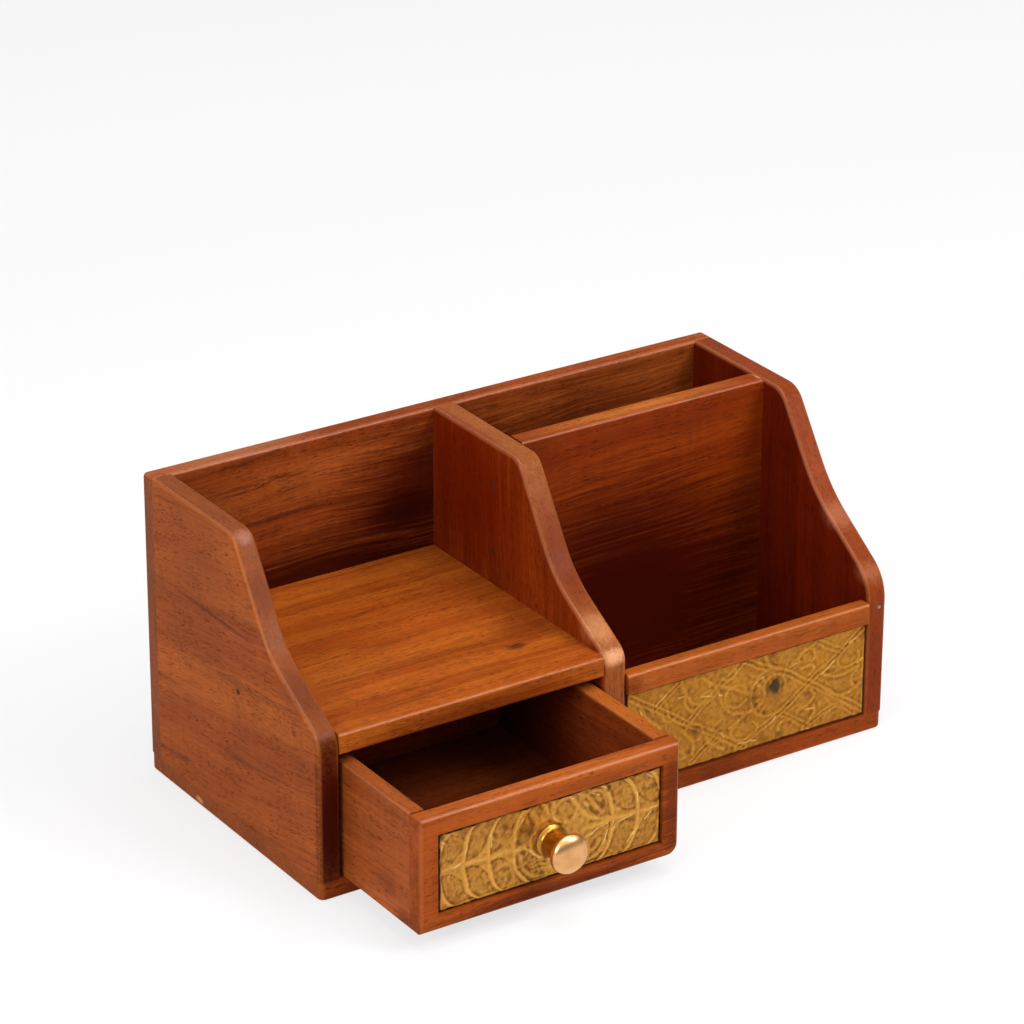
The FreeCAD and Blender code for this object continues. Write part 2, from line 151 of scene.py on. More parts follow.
class Shader:
    """The node tree of a material or of the world, built up by calls."""

    def __init__(self, owner: Union[bpy.types.Material, bpy.types.World]) -> None:
        """Empties the tree.

        Args:
            owner: The material or world whose tree is built.
        """
        owner.use_nodes = True
        self.owner = owner
        self.tree = owner.node_tree
        self.tree.nodes.clear()

    def add(
        self,
        kind: str,
        settings: Optional[Dict[str, object]] = None,
        wires: Optional[Dict[Union[int, str], Wire]] = None,
        out: Union[int, str] = 0,
    ) -> Socket:
        """Adds a node.

        Args:
            kind: The node's type.
            settings: The node's own settings, set before its sockets.
            wires: Values or links of its input sockets, by name or number.
            out: Name or number of the output to hand back.

        Returns:
            That output.
        """
        node = self.tree.nodes.new(kind)
        for key, value in (settings or {}).items():
            setattr(node, key, value)
        for key, value in (wires or {}).items():
            socket = node.inputs[key]
            if isinstance(value, Socket):
                self.tree.links.new(value.link, socket)
            elif socket.type == "RGBA":
                socket.default_value = (*value, 1.0)
            else:
                socket.default_value = value
        return Socket(self, node.outputs[out] if node.outputs else None)

    def mix(self, share: Wire, first: Wire, second: Wire) -> Socket:
        """Mixes two colours.

        Args:
            share: How much of the second colour, from 0 to 1.
            first: First colour.
            second: Second colour.

        Returns:
            The mixed colour.
        """
        ends = {0: share, 6: first, 7: second}
        return self.add("ShaderNodeMix", {"data_type": "RGBA"}, ends, 2)

    def vector(
        self, operation: str, first: Wire, second: Wire = (0.0, 0.0, 0.0), out: int = 0
    ) -> Socket:
        """Vector Math of two vectors.

        Args:
            operation: Name of the node's operation.
            first: First vector.
            second: Second vector, for the operations that take one.
            out: 0 for a result that is a vector, 1 for one that is a number.

        Returns:
            The result.
        """
        ends = {0: first, 1: second}
        return self.add("ShaderNodeVectorMath", {"operation": operation}, ends, out)

    def noise(
        self,
        place: Socket,
        scale: Point3,
        detail: float = 2.0,
        rough: float = 0.5,
        out: str = "Fac",
    ) -> Socket:
        """Noise, stretched differently along each axis.

        Args:
            place: Coordinates in millimetres.
            scale: Waves per millimetre along each axis.
            detail: Octaves of finer noise.
            rough: Weight of the finer octaves.
            out: "Fac" for one number, "Color" for three.

        Returns:
            Numbers around 0.5.
        """
        wires = {
            "Vector": self.vector("MULTIPLY", place, scale),
            "Scale": 1.0,
            "Detail": detail,
            "Roughness": rough,
        }
        return self.add("ShaderNodeTexNoise", None, wires, out)

    def place(
        self, turn: Point3 = (0.0, 0.0, 0.0), shift: Point3 = (0.0, 0.0, 0.0)
    ) -> Socket:
        """Object coordinates in millimetres, turned and shifted.

        Args:
            turn: Euler angles that bring the material's own axes to X, Y and Z.
            shift: Shift in millimetres after the turn.

        Returns:
            The coordinates.
        """
        wires = {
            "Vector": self.add("ShaderNodeTexCoord", out="Object"),
            "Location": shift,
            "Rotation": turn,
            "Scale": (1.0 / MM,) * 3,
        }
        return self.add("ShaderNodeMapping", {"vector_type": "POINT"}, wires)

    def parts(self, vector: Socket) -> Tuple[Socket, Socket, Socket]:
        """Splits a vector into its three numbers."""
        split = self.add("ShaderNodeSeparateXYZ", None, {0: vector})
        return tuple(Socket(self, part) for part in split.link.node.outputs[:3])

    def carried(self, name: str) -> Socket:
        """The number of that name that each vertex carries."""
        return self.add("ShaderNodeAttribute", {"attribute_name": name}, out="Fac")

    def bump(self, strength: float, depth: float, height: Socket) -> Socket:
        """Tips the surface after a height.

        Args:
            strength: How much of the bump shows, from 0 to 1.
            depth: Millimetres that a height of 1 stands for.
            height: The height.

        Returns:
            The tipped normal.
        """
        wires = {"Strength": strength, "Distance": depth * MM, "Height": height}
        return self.add("ShaderNodeBump", None, wires)

    def seen(self) -> Socket:
        """How far a ray is one that shows the backdrop itself.

        Returns:
            1 for rays from the eye, a mirror or a glass, and 0 for the rest.
        """
        total = self.add("ShaderNodeLightPath", out="Is Camera Ray")
        rays = total.link.node.outputs
        for name in ("Is Glossy Ray", "Is Transmission Ray"):
            settings = {"operation": "ADD", "use_clamp": True}
            wires = {0: total, 1: Socket(self, rays[name])}
            total = self.add("ShaderNodeMath", settings, wires)
        return total

    def surface(self, wires: Dict[str, Wire]) -> bpy.types.Material:
        """Ends the tree in one Principled surface.

        Args:
            wires: Values or links of the Principled node's sockets.

        Returns:
            The finished material.
        """
        body = self.add("ShaderNodeBsdfPrincipled", None, wires)
        self.add("ShaderNodeOutputMaterial", None, {"Surface": body})
        return self.owner


class Grain(Enum):
    """The way a board's grain runs, as the turn that brings it to X."""

    ALONG_X = (0.0, 0.0, 0.0)
    ALONG_Y = (0.0, 0.0, -math.pi / 2)
    ALONG_Z = (0.0, math.pi / 2, 0.0)

    def turn(self, tilt: float) -> Point3:
        """The turn of the grain, with a lean across the board.

        Args:
            tilt: Lean of the grain on the board's face, in degrees.

        Returns:
            Euler angles of the rotation from the board's axes to the grain's.
        """
        axis = "Y" if self is Grain.ALONG_X else "X"
        lean = Matrix.Rotation(math.radians(tilt), 3, axis)
        return tuple((Euler(self.value).to_matrix() @ lean).to_euler())


@dataclass(frozen=True)
class Patch:
    """A place where the wood is darker or paler: an ellipsoid in the frame.

    Depth is how much of its tone shows in the middle, and ragged how far the
    lines of the grain break up its edge. Some patches are stains or wear, and
    some are painted shade or painted highlights.
    """

    centre: Point3
    reach: Point3
    tone: Screen
    depth: float = 0.6
    ragged: float = 0.9


class Flank(Enum):
    """Which faces of a board take its second tone.

    The two numbers are how much a face looks to the side where that tone
    starts and where it is full.
    """

    NARROW = (0.80, 0.30)
    ENDS = (0.75, 0.95)


@dataclass(frozen=True)
class WaxedWood:
    """Reddish brown hardwood, sanded and waxed.

    The colour moves between a middle and a light tone by noises stretched
    along the grain. A few darker streaks and many short fine pores run along
    it too, and a faint ripple crosses it. Eased edges are found from the
    surface's own direction and made paler, partly as wear and partly as a
    painted sheen, and where they look upwards the wax shines. The faces that
    look inwards can be darker, a painted shade for the light that reaches
    them less.
    """

    dark: Screen
    middle: Screen
    light: Screen
    # Tone of the eased edges: paler for wear and for a painted sheen.
    edge: Screen
    grain: Grain = Grain.ALONG_X
    tilt: float = 0.0
    seed: float = 0.0
    streaks: float = 0.30
    pores: float = 0.55
    # Share of the edge tone on eased edges, part wear and part painted sheen.
    rubbed: float = 0.18
    edge_gloss: float = 0.34
    bend: float = 9.0
    flank: Optional[Flank] = None
    flank_tone: Screen = (148, 88, 48)
    gloss: float = 0.0
    inward: Point3 = (0.0, 0.0, 0.0)
    # Factor that paints shade on the faces that look inwards.
    inward_shade: Colour = (1.0, 1.0, 1.0)
    patches: Tuple[Patch, ...] = ()

    def material(self, name: str) -> bpy.types.Material:
        """Builds the finish as a material.

        Args:
            name: Name of the material.

        Returns:
            The material.
        """
        shader = Shader(bpy.data.materials.new(name))
        facing = shader.add("ShaderNodeNewGeometry", out="Normal")
        straight, place = self._along_grain(shader)
        edge = self._edge(shader, facing)
        bands = shader.noise(place, (0.004, 0.10, 0.10))
        lines = shader.noise(place, (0.020, 1.1, 1.1), detail=3.0, rough=0.6)
        hairs = shader.noise(place, (0.14, 4.2, 4.2), detail=3.0, rough=0.6)
        bark = shader.noise(place, (0.010, 0.30, 0.30), detail=3.0)
        clouds = shader.noise(straight, (0.03, 0.05, 0.05))
        ripple = shader.noise(straight, (0.30, 0.05, 0.05))

        dark, middle, light, pale, second = (
            tint(*screen)
            for screen in (
                self.dark, self.middle, self.light, self.edge, self.flank_tone
            )
        )
        tone = bands * 0.50 + lines * 0.30 + hairs * 0.20
        colour = shader.mix(tone.step(0.38, 0.62), middle, light)
        streak = bark.step(0.53, 0.68) * lines.step(0.38, 0.58) * self.streaks
        colour = shader.mix(streak, colour, dark)
        colour = shader.mix(hairs.step(0.46, 0.68) * 0.46, colour, dark)
        wax = edge * self.edge_gloss
        if self.flank is not None:
            side = abs(shader.parts(facing)[0]).step(*self.flank.value)
            second = shader.mix(lines.step(0.45, 0.65) * 0.25, second, dark)
            colour = shader.mix(side, colour, second)
            wax = side * self.gloss + wax
        shade = clouds.step(0.30, 0.70) * 0.16 + ripple.step(0.35, 0.65) * 0.08 + 0.88
        grey = shader.add("ShaderNodeCombineXYZ", None, {0: shade, 1: shade, 2: shade})
        colour = shader.vector("MULTIPLY", colour, grey)
        # Painted shade on the faces that look inwards.
        if any(self.inward):
            turned = shader.vector("DOT_PRODUCT", facing, self.inward, out=1)
            darker = shader.vector("MULTIPLY", colour, self.inward_shade)
            colour = shader.mix(turned.step(0.35, 0.95), colour, darker)
        colour = self._patched(shader, colour, lines)

        fine = shader.noise(place, (0.42, 4.6, 4.6), detail=0.0)
        group = shader.noise(place, (0.05, 0.6, 0.6), detail=1.0)
        pore = fine.step(0.59, 0.68) * group.step(0.38, 0.58)
        deep = tuple(0.45 * part for part in dark)
        colour = shader.mix(pore * self.pores, colour, deep)
        # Eased edges turn paler, part wear and part painted sheen.
        edge_wear_and_sheen = edge * (hairs.step(0.30, 0.62) * 0.6 + 0.4) * self.rubbed
        height = 0.6 - pore * 0.6 + lines * 0.2 + hairs * 0.15
        return shader.surface(
            {
                "Base Color": shader.mix(edge_wear_and_sheen, colour, pale),
                "Roughness": 0.44 + hairs * 0.12 + pore * 0.20 - edge * 0.14,
                "Normal": shader.bump(strength=0.5, depth=0.10, height=height),
                "Coat Weight": wax * shader.parts(facing)[2].step(0.05, 0.60),
                "Coat Roughness": 0.28,
                "Specular IOR Level": 0.05,
            }
        )

    def _along_grain(self, shader: Shader) -> Tuple[Socket, Socket]:
        """Coordinates that follow the grain, straight and gently bent.

        The shift by the seed gives each board its own wood, and the bend
        moves the lines across the grain by a slow noise of +-4.5 mm at most.

        Args:
            shader: The material's nodes.

        Returns:
            The straight coordinates and the bent ones.
        """
        shift = tuple(self.seed * part for part in (37.0, 61.0, 17.0))
        straight = shader.place(self.grain.turn(self.tilt), shift)
        bend = shader.noise(straight, (0.012, 0.030, 0.030), out="Color")
        swing = shader.vector("SUBTRACT", bend, (0.5, 0.5, 0.5))
        swing = shader.vector("MULTIPLY", swing, (0.0, self.bend, self.bend))
        return straight, shader.vector("ADD", straight, swing)

    def _patched(self, shader: Shader, colour: Socket, lines: Socket) -> Socket:
        """Colours the patches, each an ellipsoid with a ragged edge.

        Args:
            shader: The material's nodes.
            colour: Colour so far.
            lines: Fine lines along the grain, which break up each patch.

        Returns:
            The colour with its patches.
        """
        raw = shader.add("ShaderNodeTexCoord", out="Object")
        for patch in self.patches:
            centre = tuple(part * MM for part in patch.centre)
            scale = tuple(1.0 / (part * MM) for part in patch.reach)
            away = shader.vector("SUBTRACT", raw, centre)
            away = shader.vector("MULTIPLY", away, scale)
            length = shader.vector("LENGTH", away, out=1)
            near = (length + (lines - 0.5) * patch.ragged).step(1.0, 0.25)
            colour = shader.mix(near * patch.depth, colour, tint(*patch.tone))
        return colour

    def _edge(self, shader: Shader, facing: Socket) -> Socket:
        """Share of eased edge, from how far the surface turns off the axes.

        Args:
            shader: The material's nodes.
            facing: The way the surface faces.

        Returns:
            0 on flat faces and 1 on the middle of an eased edge.
        """
        side, deep, tall = (abs(part) for part in shader.parts(facing))
        if self.flank is Flank.NARROW:
            return side.step(0.12, 0.45) * side.step(0.99, 0.90)
        return side.most(deep).most(tall).step(0.985, 0.86)


@dataclass(frozen=True)
class WornBrass:
    """Thin brass sheet, embossed and left to tarnish.

    Each vertex carries how far it stands over its surroundings. What stands
    proud is rubbed bright, and the creases between are browner and duller.
    The vertices also carry where it is stained or green, where it is polished
    and painted with a glint, and where the frame casts a painted shade: a
    darker stain along the whole rim and a dark strip next to the frame.
    """

    ground: Colour
    raised: Colour
    crease: Colour
    # Tone of the stains, also of the painted shade along the rim.
    stain_and_shade: Colour
    green: Colour = (0.044, 0.034, 0.012)
    # Colour of the polish and of the painted glints.
    bright: Colour = (0.90, 0.64, 0.22)
    # Colour of the painted shade next to the frame.
    gap: Colour = (0.020, 0.005, 0.001)
    stained: float = 0.4
    metal: float = 0.55

    def material(self, name: str) -> bpy.types.Material:
        """Builds the finish as a material.

        Args:
            name: Name of the material.

        Returns:
            The material.
        """
        shader = Shader(bpy.data.materials.new(name))
        relief = shader.carried("relief")
        place = shader.place()
        clouds = shader.noise(place, (0.14,) * 3, detail=3.0, rough=0.6)
        grit = shader.noise(place, (2.2,) * 3, rough=0.6)
        spots = shader.noise(place, (0.5,) * 3, detail=3.0, rough=0.65)
        lift = relief + (grit - 0.5) * 0.30 + (clouds - 0.5) * 0.50
        colour = shader.mix(lift.step(0.10, 0.90), self.ground, self.raised)
        colour = shader.mix(relief.step(0.38, 0.16) * 0.5, colour, self.crease)
        # Stains, and along the rim the frame's painted shade.
        dirt_and_shade = spots.step(0.58, 0.74) * relief.step(0.9, 0.4) * self.stained
        dirt_and_shade = dirt_and_shade.most(shader.carried("tarnish_and_shade"))
        colour = shader.mix(dirt_and_shade, colour, self.stain_and_shade)
        colour = shader.mix(shader.carried("patina"), colour, self.green)
        # Painted glints on the highest crests, joined with the polish.
        painted_glints = shader.noise(place, (1.6,) * 3).step(0.56, 0.68)
        painted_glints = painted_glints * relief.step(0.62, 0.80) * 0.7
        painted_glints = shader.carried("polish_and_glint").most(painted_glints)
        colour = shader.mix(painted_glints, colour, self.bright)
        # The gap attribute paints the frame's shade next to it.
        return shader.surface(
            {
                "Base Color": shader.mix(shader.carried("gap"), colour, self.gap),
                "Metallic": self.metal - dirt_and_shade * 0.35,
                "Roughness": 0.36 + (clouds - 0.5) * 0.2 - painted_glints * 0.12 + dirt_and_shade * 0.2,
                "Normal": shader.bump(strength=0.6, depth=0.14, height=grit),
                "Specular IOR Level": 0.10,
            }
        )


@dataclass(frozen=True)
class TurnedMetal:
    """Metal turned in a lathe, with fine rings left by the tool.

    A shaded tone, where there is one, is painted where the vertices carry shade.
    """

    tone: Colour
    dull: Colour
    rough: float
    shaded: Optional[Colour] = None

    def material(self, name: str) -> bpy.types.Material:
        """Builds the finish as a material.

        Args:
            name: Name of the material.

        Returns:
            The material.
        """
        shader = Shader(bpy.data.materials.new(name))
        place = shader.place()
        rings = shader.noise(place, (0.12, 6.0, 0.12))
        clouds = shader.noise(place, (0.22,) * 3)
        colour = shader.mix(clouds.step(0.42, 0.72) * 0.5, self.tone, self.dull)
        # Painted shade, where the vertices carry it.
        if self.shaded is not None:
            colour = shader.mix(shader.carried("tarnish_and_shade"), colour, self.shaded)
        return shader.surface(
            {
                "Base Color": colour,
                "Metallic": 1.0,
                "Roughness": self.rough + clouds * 0.10 + rings * 0.05,
                "Normal": shader.bump(strength=0.12, depth=0.05, height=rings),
            }
        )


def smooth_noise(u: np.ndarray, v: np.ndarray, cell: float, seed: int) -> np.ndarray:
    """Seeded noise over a plane.

    Random values stand on a square lattice, and between lattice points each
    is blended with its neighbours by the smooth step 3t^2 - 2t^3 along both
    axes.

    Args:
        u: First coordinate of every point.
        v: Second coordinate of every point.
        cell: Distance between lattice points.
        seed: Seed of the random values.

    Returns:
        Values from -1 to 1, one for each point.
    """
    cells = 96
    lattice = np.random.default_rng(seed).uniform(-1.0, 1.0, (cells + 1, cells + 1))
    column, row = u / cell + cells / 2, v / cell + cells / 2
    i, j = np.floor(column).astype(int), np.floor(row).astype(int)
    s, t = column - i, row - j
    s, t = s * s * (3 - 2 * s), t * t * (3 - 2 * t)
    i, j = i % cells, j % cells
    low = lattice[i, j] * (1 - s) + lattice[i + 1, j] * s
    high = lattice[i, j + 1] * (1 - s) + lattice[i + 1, j + 1] * s
    return low * (1 - t) + high * t


def fade(value: np.ndarray, low: float, high: float) -> np.ndarray:
    """The smooth step 3t^2 - 2t^3, with t running from low to high.

    Args:
        value: Values to step.
        low: Value that gives 0.
        high: Value that gives 1, below low for a falling step.

    Returns:
        Values from 0 to 1.
    """
    t = np.clip((value - low) / (high - low), 0.0, 1.0)
    return t * t * (3 - 2 * t)


def bell(distance: np.ndarray, width: float) -> np.ndarray:
    """The bell curve exp(-(distance / width)^2)."""
    return np.exp(-((distance / width) ** 2))


def rounded(points: Sequence[Point2], passes: int = 3) -> np.ndarray:
    """Rounds the corners of a line by cutting each at a quarter of its runs.

    Args:
        points: The corners of the line.
        passes: How many times the corners are cut.

    Returns:
        The points of the rounded line, one row each, with the same ends.
    """
    line = np.array(points, float)
    for _ in range(passes):
        near = 0.75 * line[:-1] + 0.25 * line[1:]
        far = 0.25 * line[:-1] + 0.75 * line[1:]
        cut = np.stack((near, far), 1).reshape(-1, 2)
        line = np.concatenate((line[:1], cut[1:-1], line[-1:]))
    return line


def blurred(height: np.ndarray, passes: int) -> np.ndarray:
    """Averages each value with its neighbours, several times over.

    Args:
        height: Values on a grid.
        passes: How many times each is replaced by the mean of three.

    Returns:
        The smoothed values.
    """
    for _ in range(passes):
        for axis in (0, 1):
            rims = [(0, 0), (0, 0)]
            rims[axis] = (1, 1)
            wide = np.pad(height, rims, mode="edge")
            places = np.arange(height.shape[axis])
            before, here, after = (np.take(wide, places + k, axis) for k in range(3))
            height = (before + here + after) / 3.0
    return height


@dataclass
class Emboss:
    """The relief of a thin sheet, drawn stroke by stroke.

    Every stroke is a function of each point's distance to a line, an arc, a
    ring or a leaf outline. A raised line is a bell curve of that distance,
    and where two cross the higher one counts. The points are first shifted a
    little by noise, so that every stroke wavers like a hand's.
    """

    u: np.ndarray
    v: np.ndarray
    seed: int
    waver: float = 0.42
    depth: float = 0.62
    lines: np.ndarray = field(init=False)
    swell: np.ndarray = field(init=False)
    sunk: np.ndarray = field(init=False)
    tarnish_and_shade: np.ndarray = field(init=False)
    patina: np.ndarray = field(init=False)
    # Where the sheet is polished, with a painted glint on it.
    polish_and_glint: np.ndarray = field(init=False)

    def __post_init__(self) -> None:
        """Shifts the points by noise and starts with a flat and clean sheet."""
        u, v = self.u, self.v
        shifts = [
            smooth_noise(u, v, 5.3, seed) + 0.35 * smooth_noise(u, v, 1.7, seed + 1)
            for seed in (self.seed + 1, self.seed + 3)
        ]
        self.u, self.v = u + self.waver * shifts[0], v + self.waver * shifts[1]
        for name in ("lines", "swell", "sunk", "tarnish_and_shade", "patina", "polish_and_glint"):
            setattr(self, name, np.zeros_like(u))

    def raise_line(self, distance: np.ndarray, width: float, height: float) -> None:
        """Raises a line along the places whose distance is 0."""
        self.lines = np.maximum(self.lines, height * bell(distance, width))

    def to_line(self, points: Sequence[Point2]) -> np.ndarray:
        """Distance to a line through several points, its corners rounded.

        Args:
            points: The corners of the line.

        Returns:
            The distance of every point to the nearest point of the line.
        """
        line = rounded(points) if len(points) > 2 else np.array(points, float)
        away = np.full_like(self.u, np.inf)
        for start, step in zip(line[:-1], np.diff(line, axis=0)):
            along = (self.u - start[0]) * step[0] + (self.v - start[1]) * step[1]
            t = np.clip(along / (step @ step), 0.0, 1.0)
            off_u = self.u - start[0] - t * step[0]
            off_v = self.v - start[1] - t * step[1]
            away = np.minimum(away, np.hypot(off_u, off_v))
        return away

    def to_ring(self, centre: Point2, radius: float, squash: float = 1.0) -> np.ndarray:
        """Distance to a ring.

        Args:
            centre: Centre of the ring.
            radius: Its radius.
            squash: Height of the ring over its width.

        Returns:
            The distance of every point to the ring, negative inside.
        """
        return np.hypot(self.u - centre[0], (self.v - centre[1]) / squash) - radius

    def to_leaf(self, foot: Point2, tip: Point2, half_width: float) -> np.ndarray:
        """Distance to a leaf that two equal circles cut out of each other.

        Args:
            foot: One pointed end.
            tip: The other pointed end.
            half_width: Half of its width in the middle.

        Returns:
            The distance of every point to the outline, negative inside.
        """
        du, dv = tip[0] - foot[0], tip[1] - foot[1]
        length = math.hypot(du, dv)
        radius = (length * length / 4 + half_width**2) / (2 * half_width)
        off = (radius - half_width) / length
        x, y = (foot[0] + tip[0]) / 2, (foot[1] + tip[1]) / 2
        one = self.to_ring((x - dv * off, y + du * off), radius)
        two = self.to_ring((x + dv * off, y - du * off), radius)
        return np.maximum(one, two)

    def stroke(self, points: Line, height: float, width: float) -> None:
        """Raises a line with a crease along both of its sides.

        Args:
            points: The corners of the line.
            height: Height of the raised line.
            width: Half of its width.
        """
        away = self.to_line(points)
        self.raise_line(away, width, height)
        self.swell -= 0.45 * height * bell(away - 2.1 * width, width)

    def double(self, points: Line, gap: float, height: float) -> None:
        """Raises two parallel lines with a groove between them.

        Args:
            points: The corners that the pair runs through.
            gap: Distance between the two lines.
            height: Their height.
        """
        away = self.to_line(points)
        self.raise_line(away - gap / 2, width=0.40, height=height)
        self.swell -= 0.5 * height * bell(away, gap * 0.34)
        self.swell -= 0.3 * height * bell(away - gap * 1.05, 0.4)

    def ring(
        self,
        centre: Point2,
        radius: float,
        height: float,
        width: float,
        squash: float,
        span: Point2,
    ) -> None:
        """Raises a part of a ring, with a crease inside it.

        Args:
            centre: Centre of the ring.
            radius: Its radius.
            height: Its height.
            width: Half of the width of the raised line.
            squash: Height of the ring over its width.
            span: First and last angle in degrees.
        """
        away = self.to_ring(centre, radius, squash)
        turn = np.degrees(np.arctan2(self.v - centre[1], self.u - centre[0]))
        turn = (turn - span[0]) % 360.0
        size = (span[1] - span[0]) % 360.0
        beyond = np.minimum(turn - size, 360.0 - turn)
        past = np.where(turn <= size, 0.0, np.radians(beyond) * radius)
        self.raise_line(np.hypot(away, past), width, height)
        crease = np.hypot(away + 2.0 * width, past)
        self.swell -= 0.4 * height * bell(crease, width)

    def sink(self, away: np.ndarray, across: np.ndarray, vein: float) -> None:
        """Sinks a field inside an outline, with a thin groove and veins.

        Args:
            away: Distance of every point to the outline, negative inside.
            across: Coordinate that the veins run square to.
            vein: Distance between two veins.
        """
        inside = fade(away, 0.1, -0.6)
        self.sunk = np.maximum(self.sunk, inside)
        self.swell -= 0.12 * inside
        self.swell -= 0.20 * bell(away + 0.15, 0.28)
        across = across + 0.5 * smooth_noise(self.u, self.v, 2.4, self.seed + 9)
        waves = np.cos(across * (2 * math.pi / vein))
        patchy = fade(smooth_noise(self.u, self.v, 2.9, self.seed + 10), -0.4, 0.6)
        self.swell += 0.055 * fade(away, -0.4, -1.0) * waves * patchy

    def petal(self, foot: float, turn: float, way: float, width: float) -> None:
        """Sinks a broad petal between two ribs of a row.

        A rib starts at the stem and bends over like a quarter of an ellipse,
        by bow * (1 - (1 - (t / tall)^2)^(1/2)) at the height t. Counted from
        the rib, the petal fills the width less a margin on both sides, and
        its lower corner away from the rib is rounded by a cubic.

        Args:
            foot: Where the rib leaves the stem.
            turn: 1 if the rib bends to the right, -1 if to the left.
            way: 1 for the upper row, -1 for the lower row.
            width: Distance to the next rib.
        """
        bow, tall, margin = 6.4, 13.0, 0.8
        low, corner, high = 1.0, 4.2, 12.4
        t = way * self.v
        lean = bow * (1 - np.sqrt(1 - np.clip(t / tall, 0.0, 0.995) ** 2))
        s = turn * (self.u - foot) - lean
        share = np.clip((s - margin) / (width - 2 * margin), 0.0, 1.0)
        sides = np.maximum(margin - s, s - width + margin)
        ends = np.maximum(low + corner * share**3 - t, t - high)
        self.sink(np.maximum(sides, ends), s, vein=1.15)
        rib = np.where(t > 0.0, np.abs(s), np.inf)
        self.raise_line(rib, width=0.75, height=0.36)

    def crumple(self, amount: float) -> None:
        """Adds the dents and thin creases of a sheet worked by hand.

        A dent is smooth noise. A crease is where another noise crosses 0, a
        thin raised line that wanders and stops.

        Args:
            amount: Height of the broadest dents.
        """
        calm = 1.0 - 0.55 * np.clip(self.lines / 0.3, 0.0, 1.0)
        for cell, share, turn in ((3.1, 1.0, 0.3), (1.45, 0.9, 1.1), (0.75, 0.7, 2.0)):
            c, s = math.cos(turn), math.sin(turn)
            u, v = self.u * c - self.v * s, self.u * s + self.v * c
            number = self.seed + int(cell * 100)
            self.swell += amount * share * calm * smooth_noise(u, v, cell, number)
            crossing = np.abs(smooth_noise(u, v, cell * 1.6, number + 50))
            here = fade(smooth_noise(u, v, cell * 1.9, number + 70), 0.1, 0.6)
            crest = fade(crossing, 0.20, 0.0) * here * calm
            self.swell += 0.7 * amount * share * crest

    def blot(
        self, centre: Point2, radius: float, depth: float, green: bool = False
    ) -> None:
        """Tarnishes a round spot.

        Args:
            centre: Centre of the spot.
            radius: Its radius.
            depth: How dark it is in the middle.
            green: Whether it has turned green as well.
        """
        away = self.to_ring(centre, 0.0)
        away = away + 0.22 * radius * smooth_noise(self.u, self.v, 1.3, self.seed + 5)
        spot = depth * fade(away, radius, 0.2 * radius)
        self.tarnish_and_shade = np.maximum(self.tarnish_and_shade, spot)
        if green:
            self.patina = np.maximum(self.patina, spot)

    def glint(self, points: Line, width: float) -> None:
        """Raises a short crest, bright as worn polish and a painted glint.

        Args:
            points: Corners of the crest.
            width: Half of its width.
        """
        away = self.to_line(points)
        self.raise_line(away, 1.8 * width, height=0.18)
        worn = 0.55 + 0.45 * smooth_noise(self.u, self.v, 0.9, self.seed + 23)
        self.polish_and_glint = np.maximum(self.polish_and_glint, worn * fade(away, 1.2 * width, 0.0))

    def height(self) -> np.ndarray:
        """Height of the whole relief over the sheet."""
        return self.depth * (self.lines + self.swell)

    def rubbed(self) -> np.ndarray:
        """How far each place stands over what surrounds it.

        The height less its own average over about a millimetre shows creases
        and crests, and the height itself adds the broad forms.

        Returns:
            Values from 0 in the deepest crease to 1 on the sharpest crest.
        """
        height = self.lines + self.swell
        local = blurred(height, 1) - blurred(height, 16)
        raised = np.clip(self.lines / 0.35, 0.0, 1.0)
        share = 0.50 + 1.5 * local + 0.06 * raised - 0.12 * self.sunk
        return np.clip(share, 0.0, 1.0)


def fill_mesh(
    name: str, points: np.ndarray, faces: List[Tuple[int, ...]], crease: float
) -> bpy.types.Object:
    """Makes an object out of points and faces.

    Args:
        name: Name of the object and its mesh.
        points: Corner points in metres, one row each.
        faces: Corner numbers of each face, outward side counter-clockwise.
        crease: Angle in degrees above which an edge looks sharp.

    Returns:
        The object, at the origin.
    """
    mesh = bpy.data.meshes.new(name)
    mesh.from_pydata(points.tolist(), [], faces)
    mesh.update()
    mesh.polygons.foreach_set("use_smooth", np.ones(len(mesh.polygons), bool))
    mesh.set_sharp_from_angle(angle=math.radians(crease))
    piece = bpy.data.objects.new(name, mesh)
    bpy.context.scene.collection.objects.link(piece)
    return piece


def give_attribute(piece: bpy.types.Object, name: str, values: np.ndarray) -> None:
    """Stores one number for each vertex.

    Args:
        piece: The object.
        name: Name of the attribute.
        values: The numbers, in the order of the vertices.
    """
    attribute = piece.data.attributes.new(name, "FLOAT", "POINT")
    attribute.data.foreach_set("value", values.astype(np.float32))


def turned_piece(
    name: str, centre: Point3, profile: np.ndarray, turns: int
) -> bpy.types.Object:
    """Carries a profile round an axis that points to the front.

    The surface is (x + r cos a, y - reach, z + r sin a) over the profile's
    reach and radius r and the angle a.

    Args:
        name: Name of the object.
        centre: The point on the axis that reach counts from.
        profile: Rows of reach and radius, with a radius of 0 at both ends.
        turns: Number of points round the axis.

    Returns:
        The object.
    """
    reach, radius = profile[1:-1, 0], profile[1:-1, 1]
    angle = np.linspace(0.0, 2 * math.pi, turns, endpoint=False)
    x = centre[0] + radius[:, None] * np.cos(angle)
    y = centre[1] - np.repeat(reach[:, None], turns, 1)
    z = centre[2] + radius[:, None] * np.sin(angle)
    skin = np.stack((x, y, z), -1).reshape(-1, 3)
    number = np.arange(len(skin)).reshape(-1, turns)
    after = np.roll(number, -1, 1)
    quads = np.stack((number[:-1], number[1:], after[1:], after[:-1]), -1)
    tip, end = np.full(turns, len(skin)), np.full(turns, len(skin) + 1)
    cap = np.stack((tip, number[0], after[0]), -1)
    floor = np.stack((end, after[-1], number[-1]), -1)
    poles = np.array((centre, centre))
    poles[:, 1] -= profile[(0, -1), 0]
    points = np.concatenate((skin, poles)) * MM
    faces = quads.reshape(-1, 4).tolist() + cap.tolist() + floor.tolist()
    return fill_mesh(name, points, faces, crease=40.0)


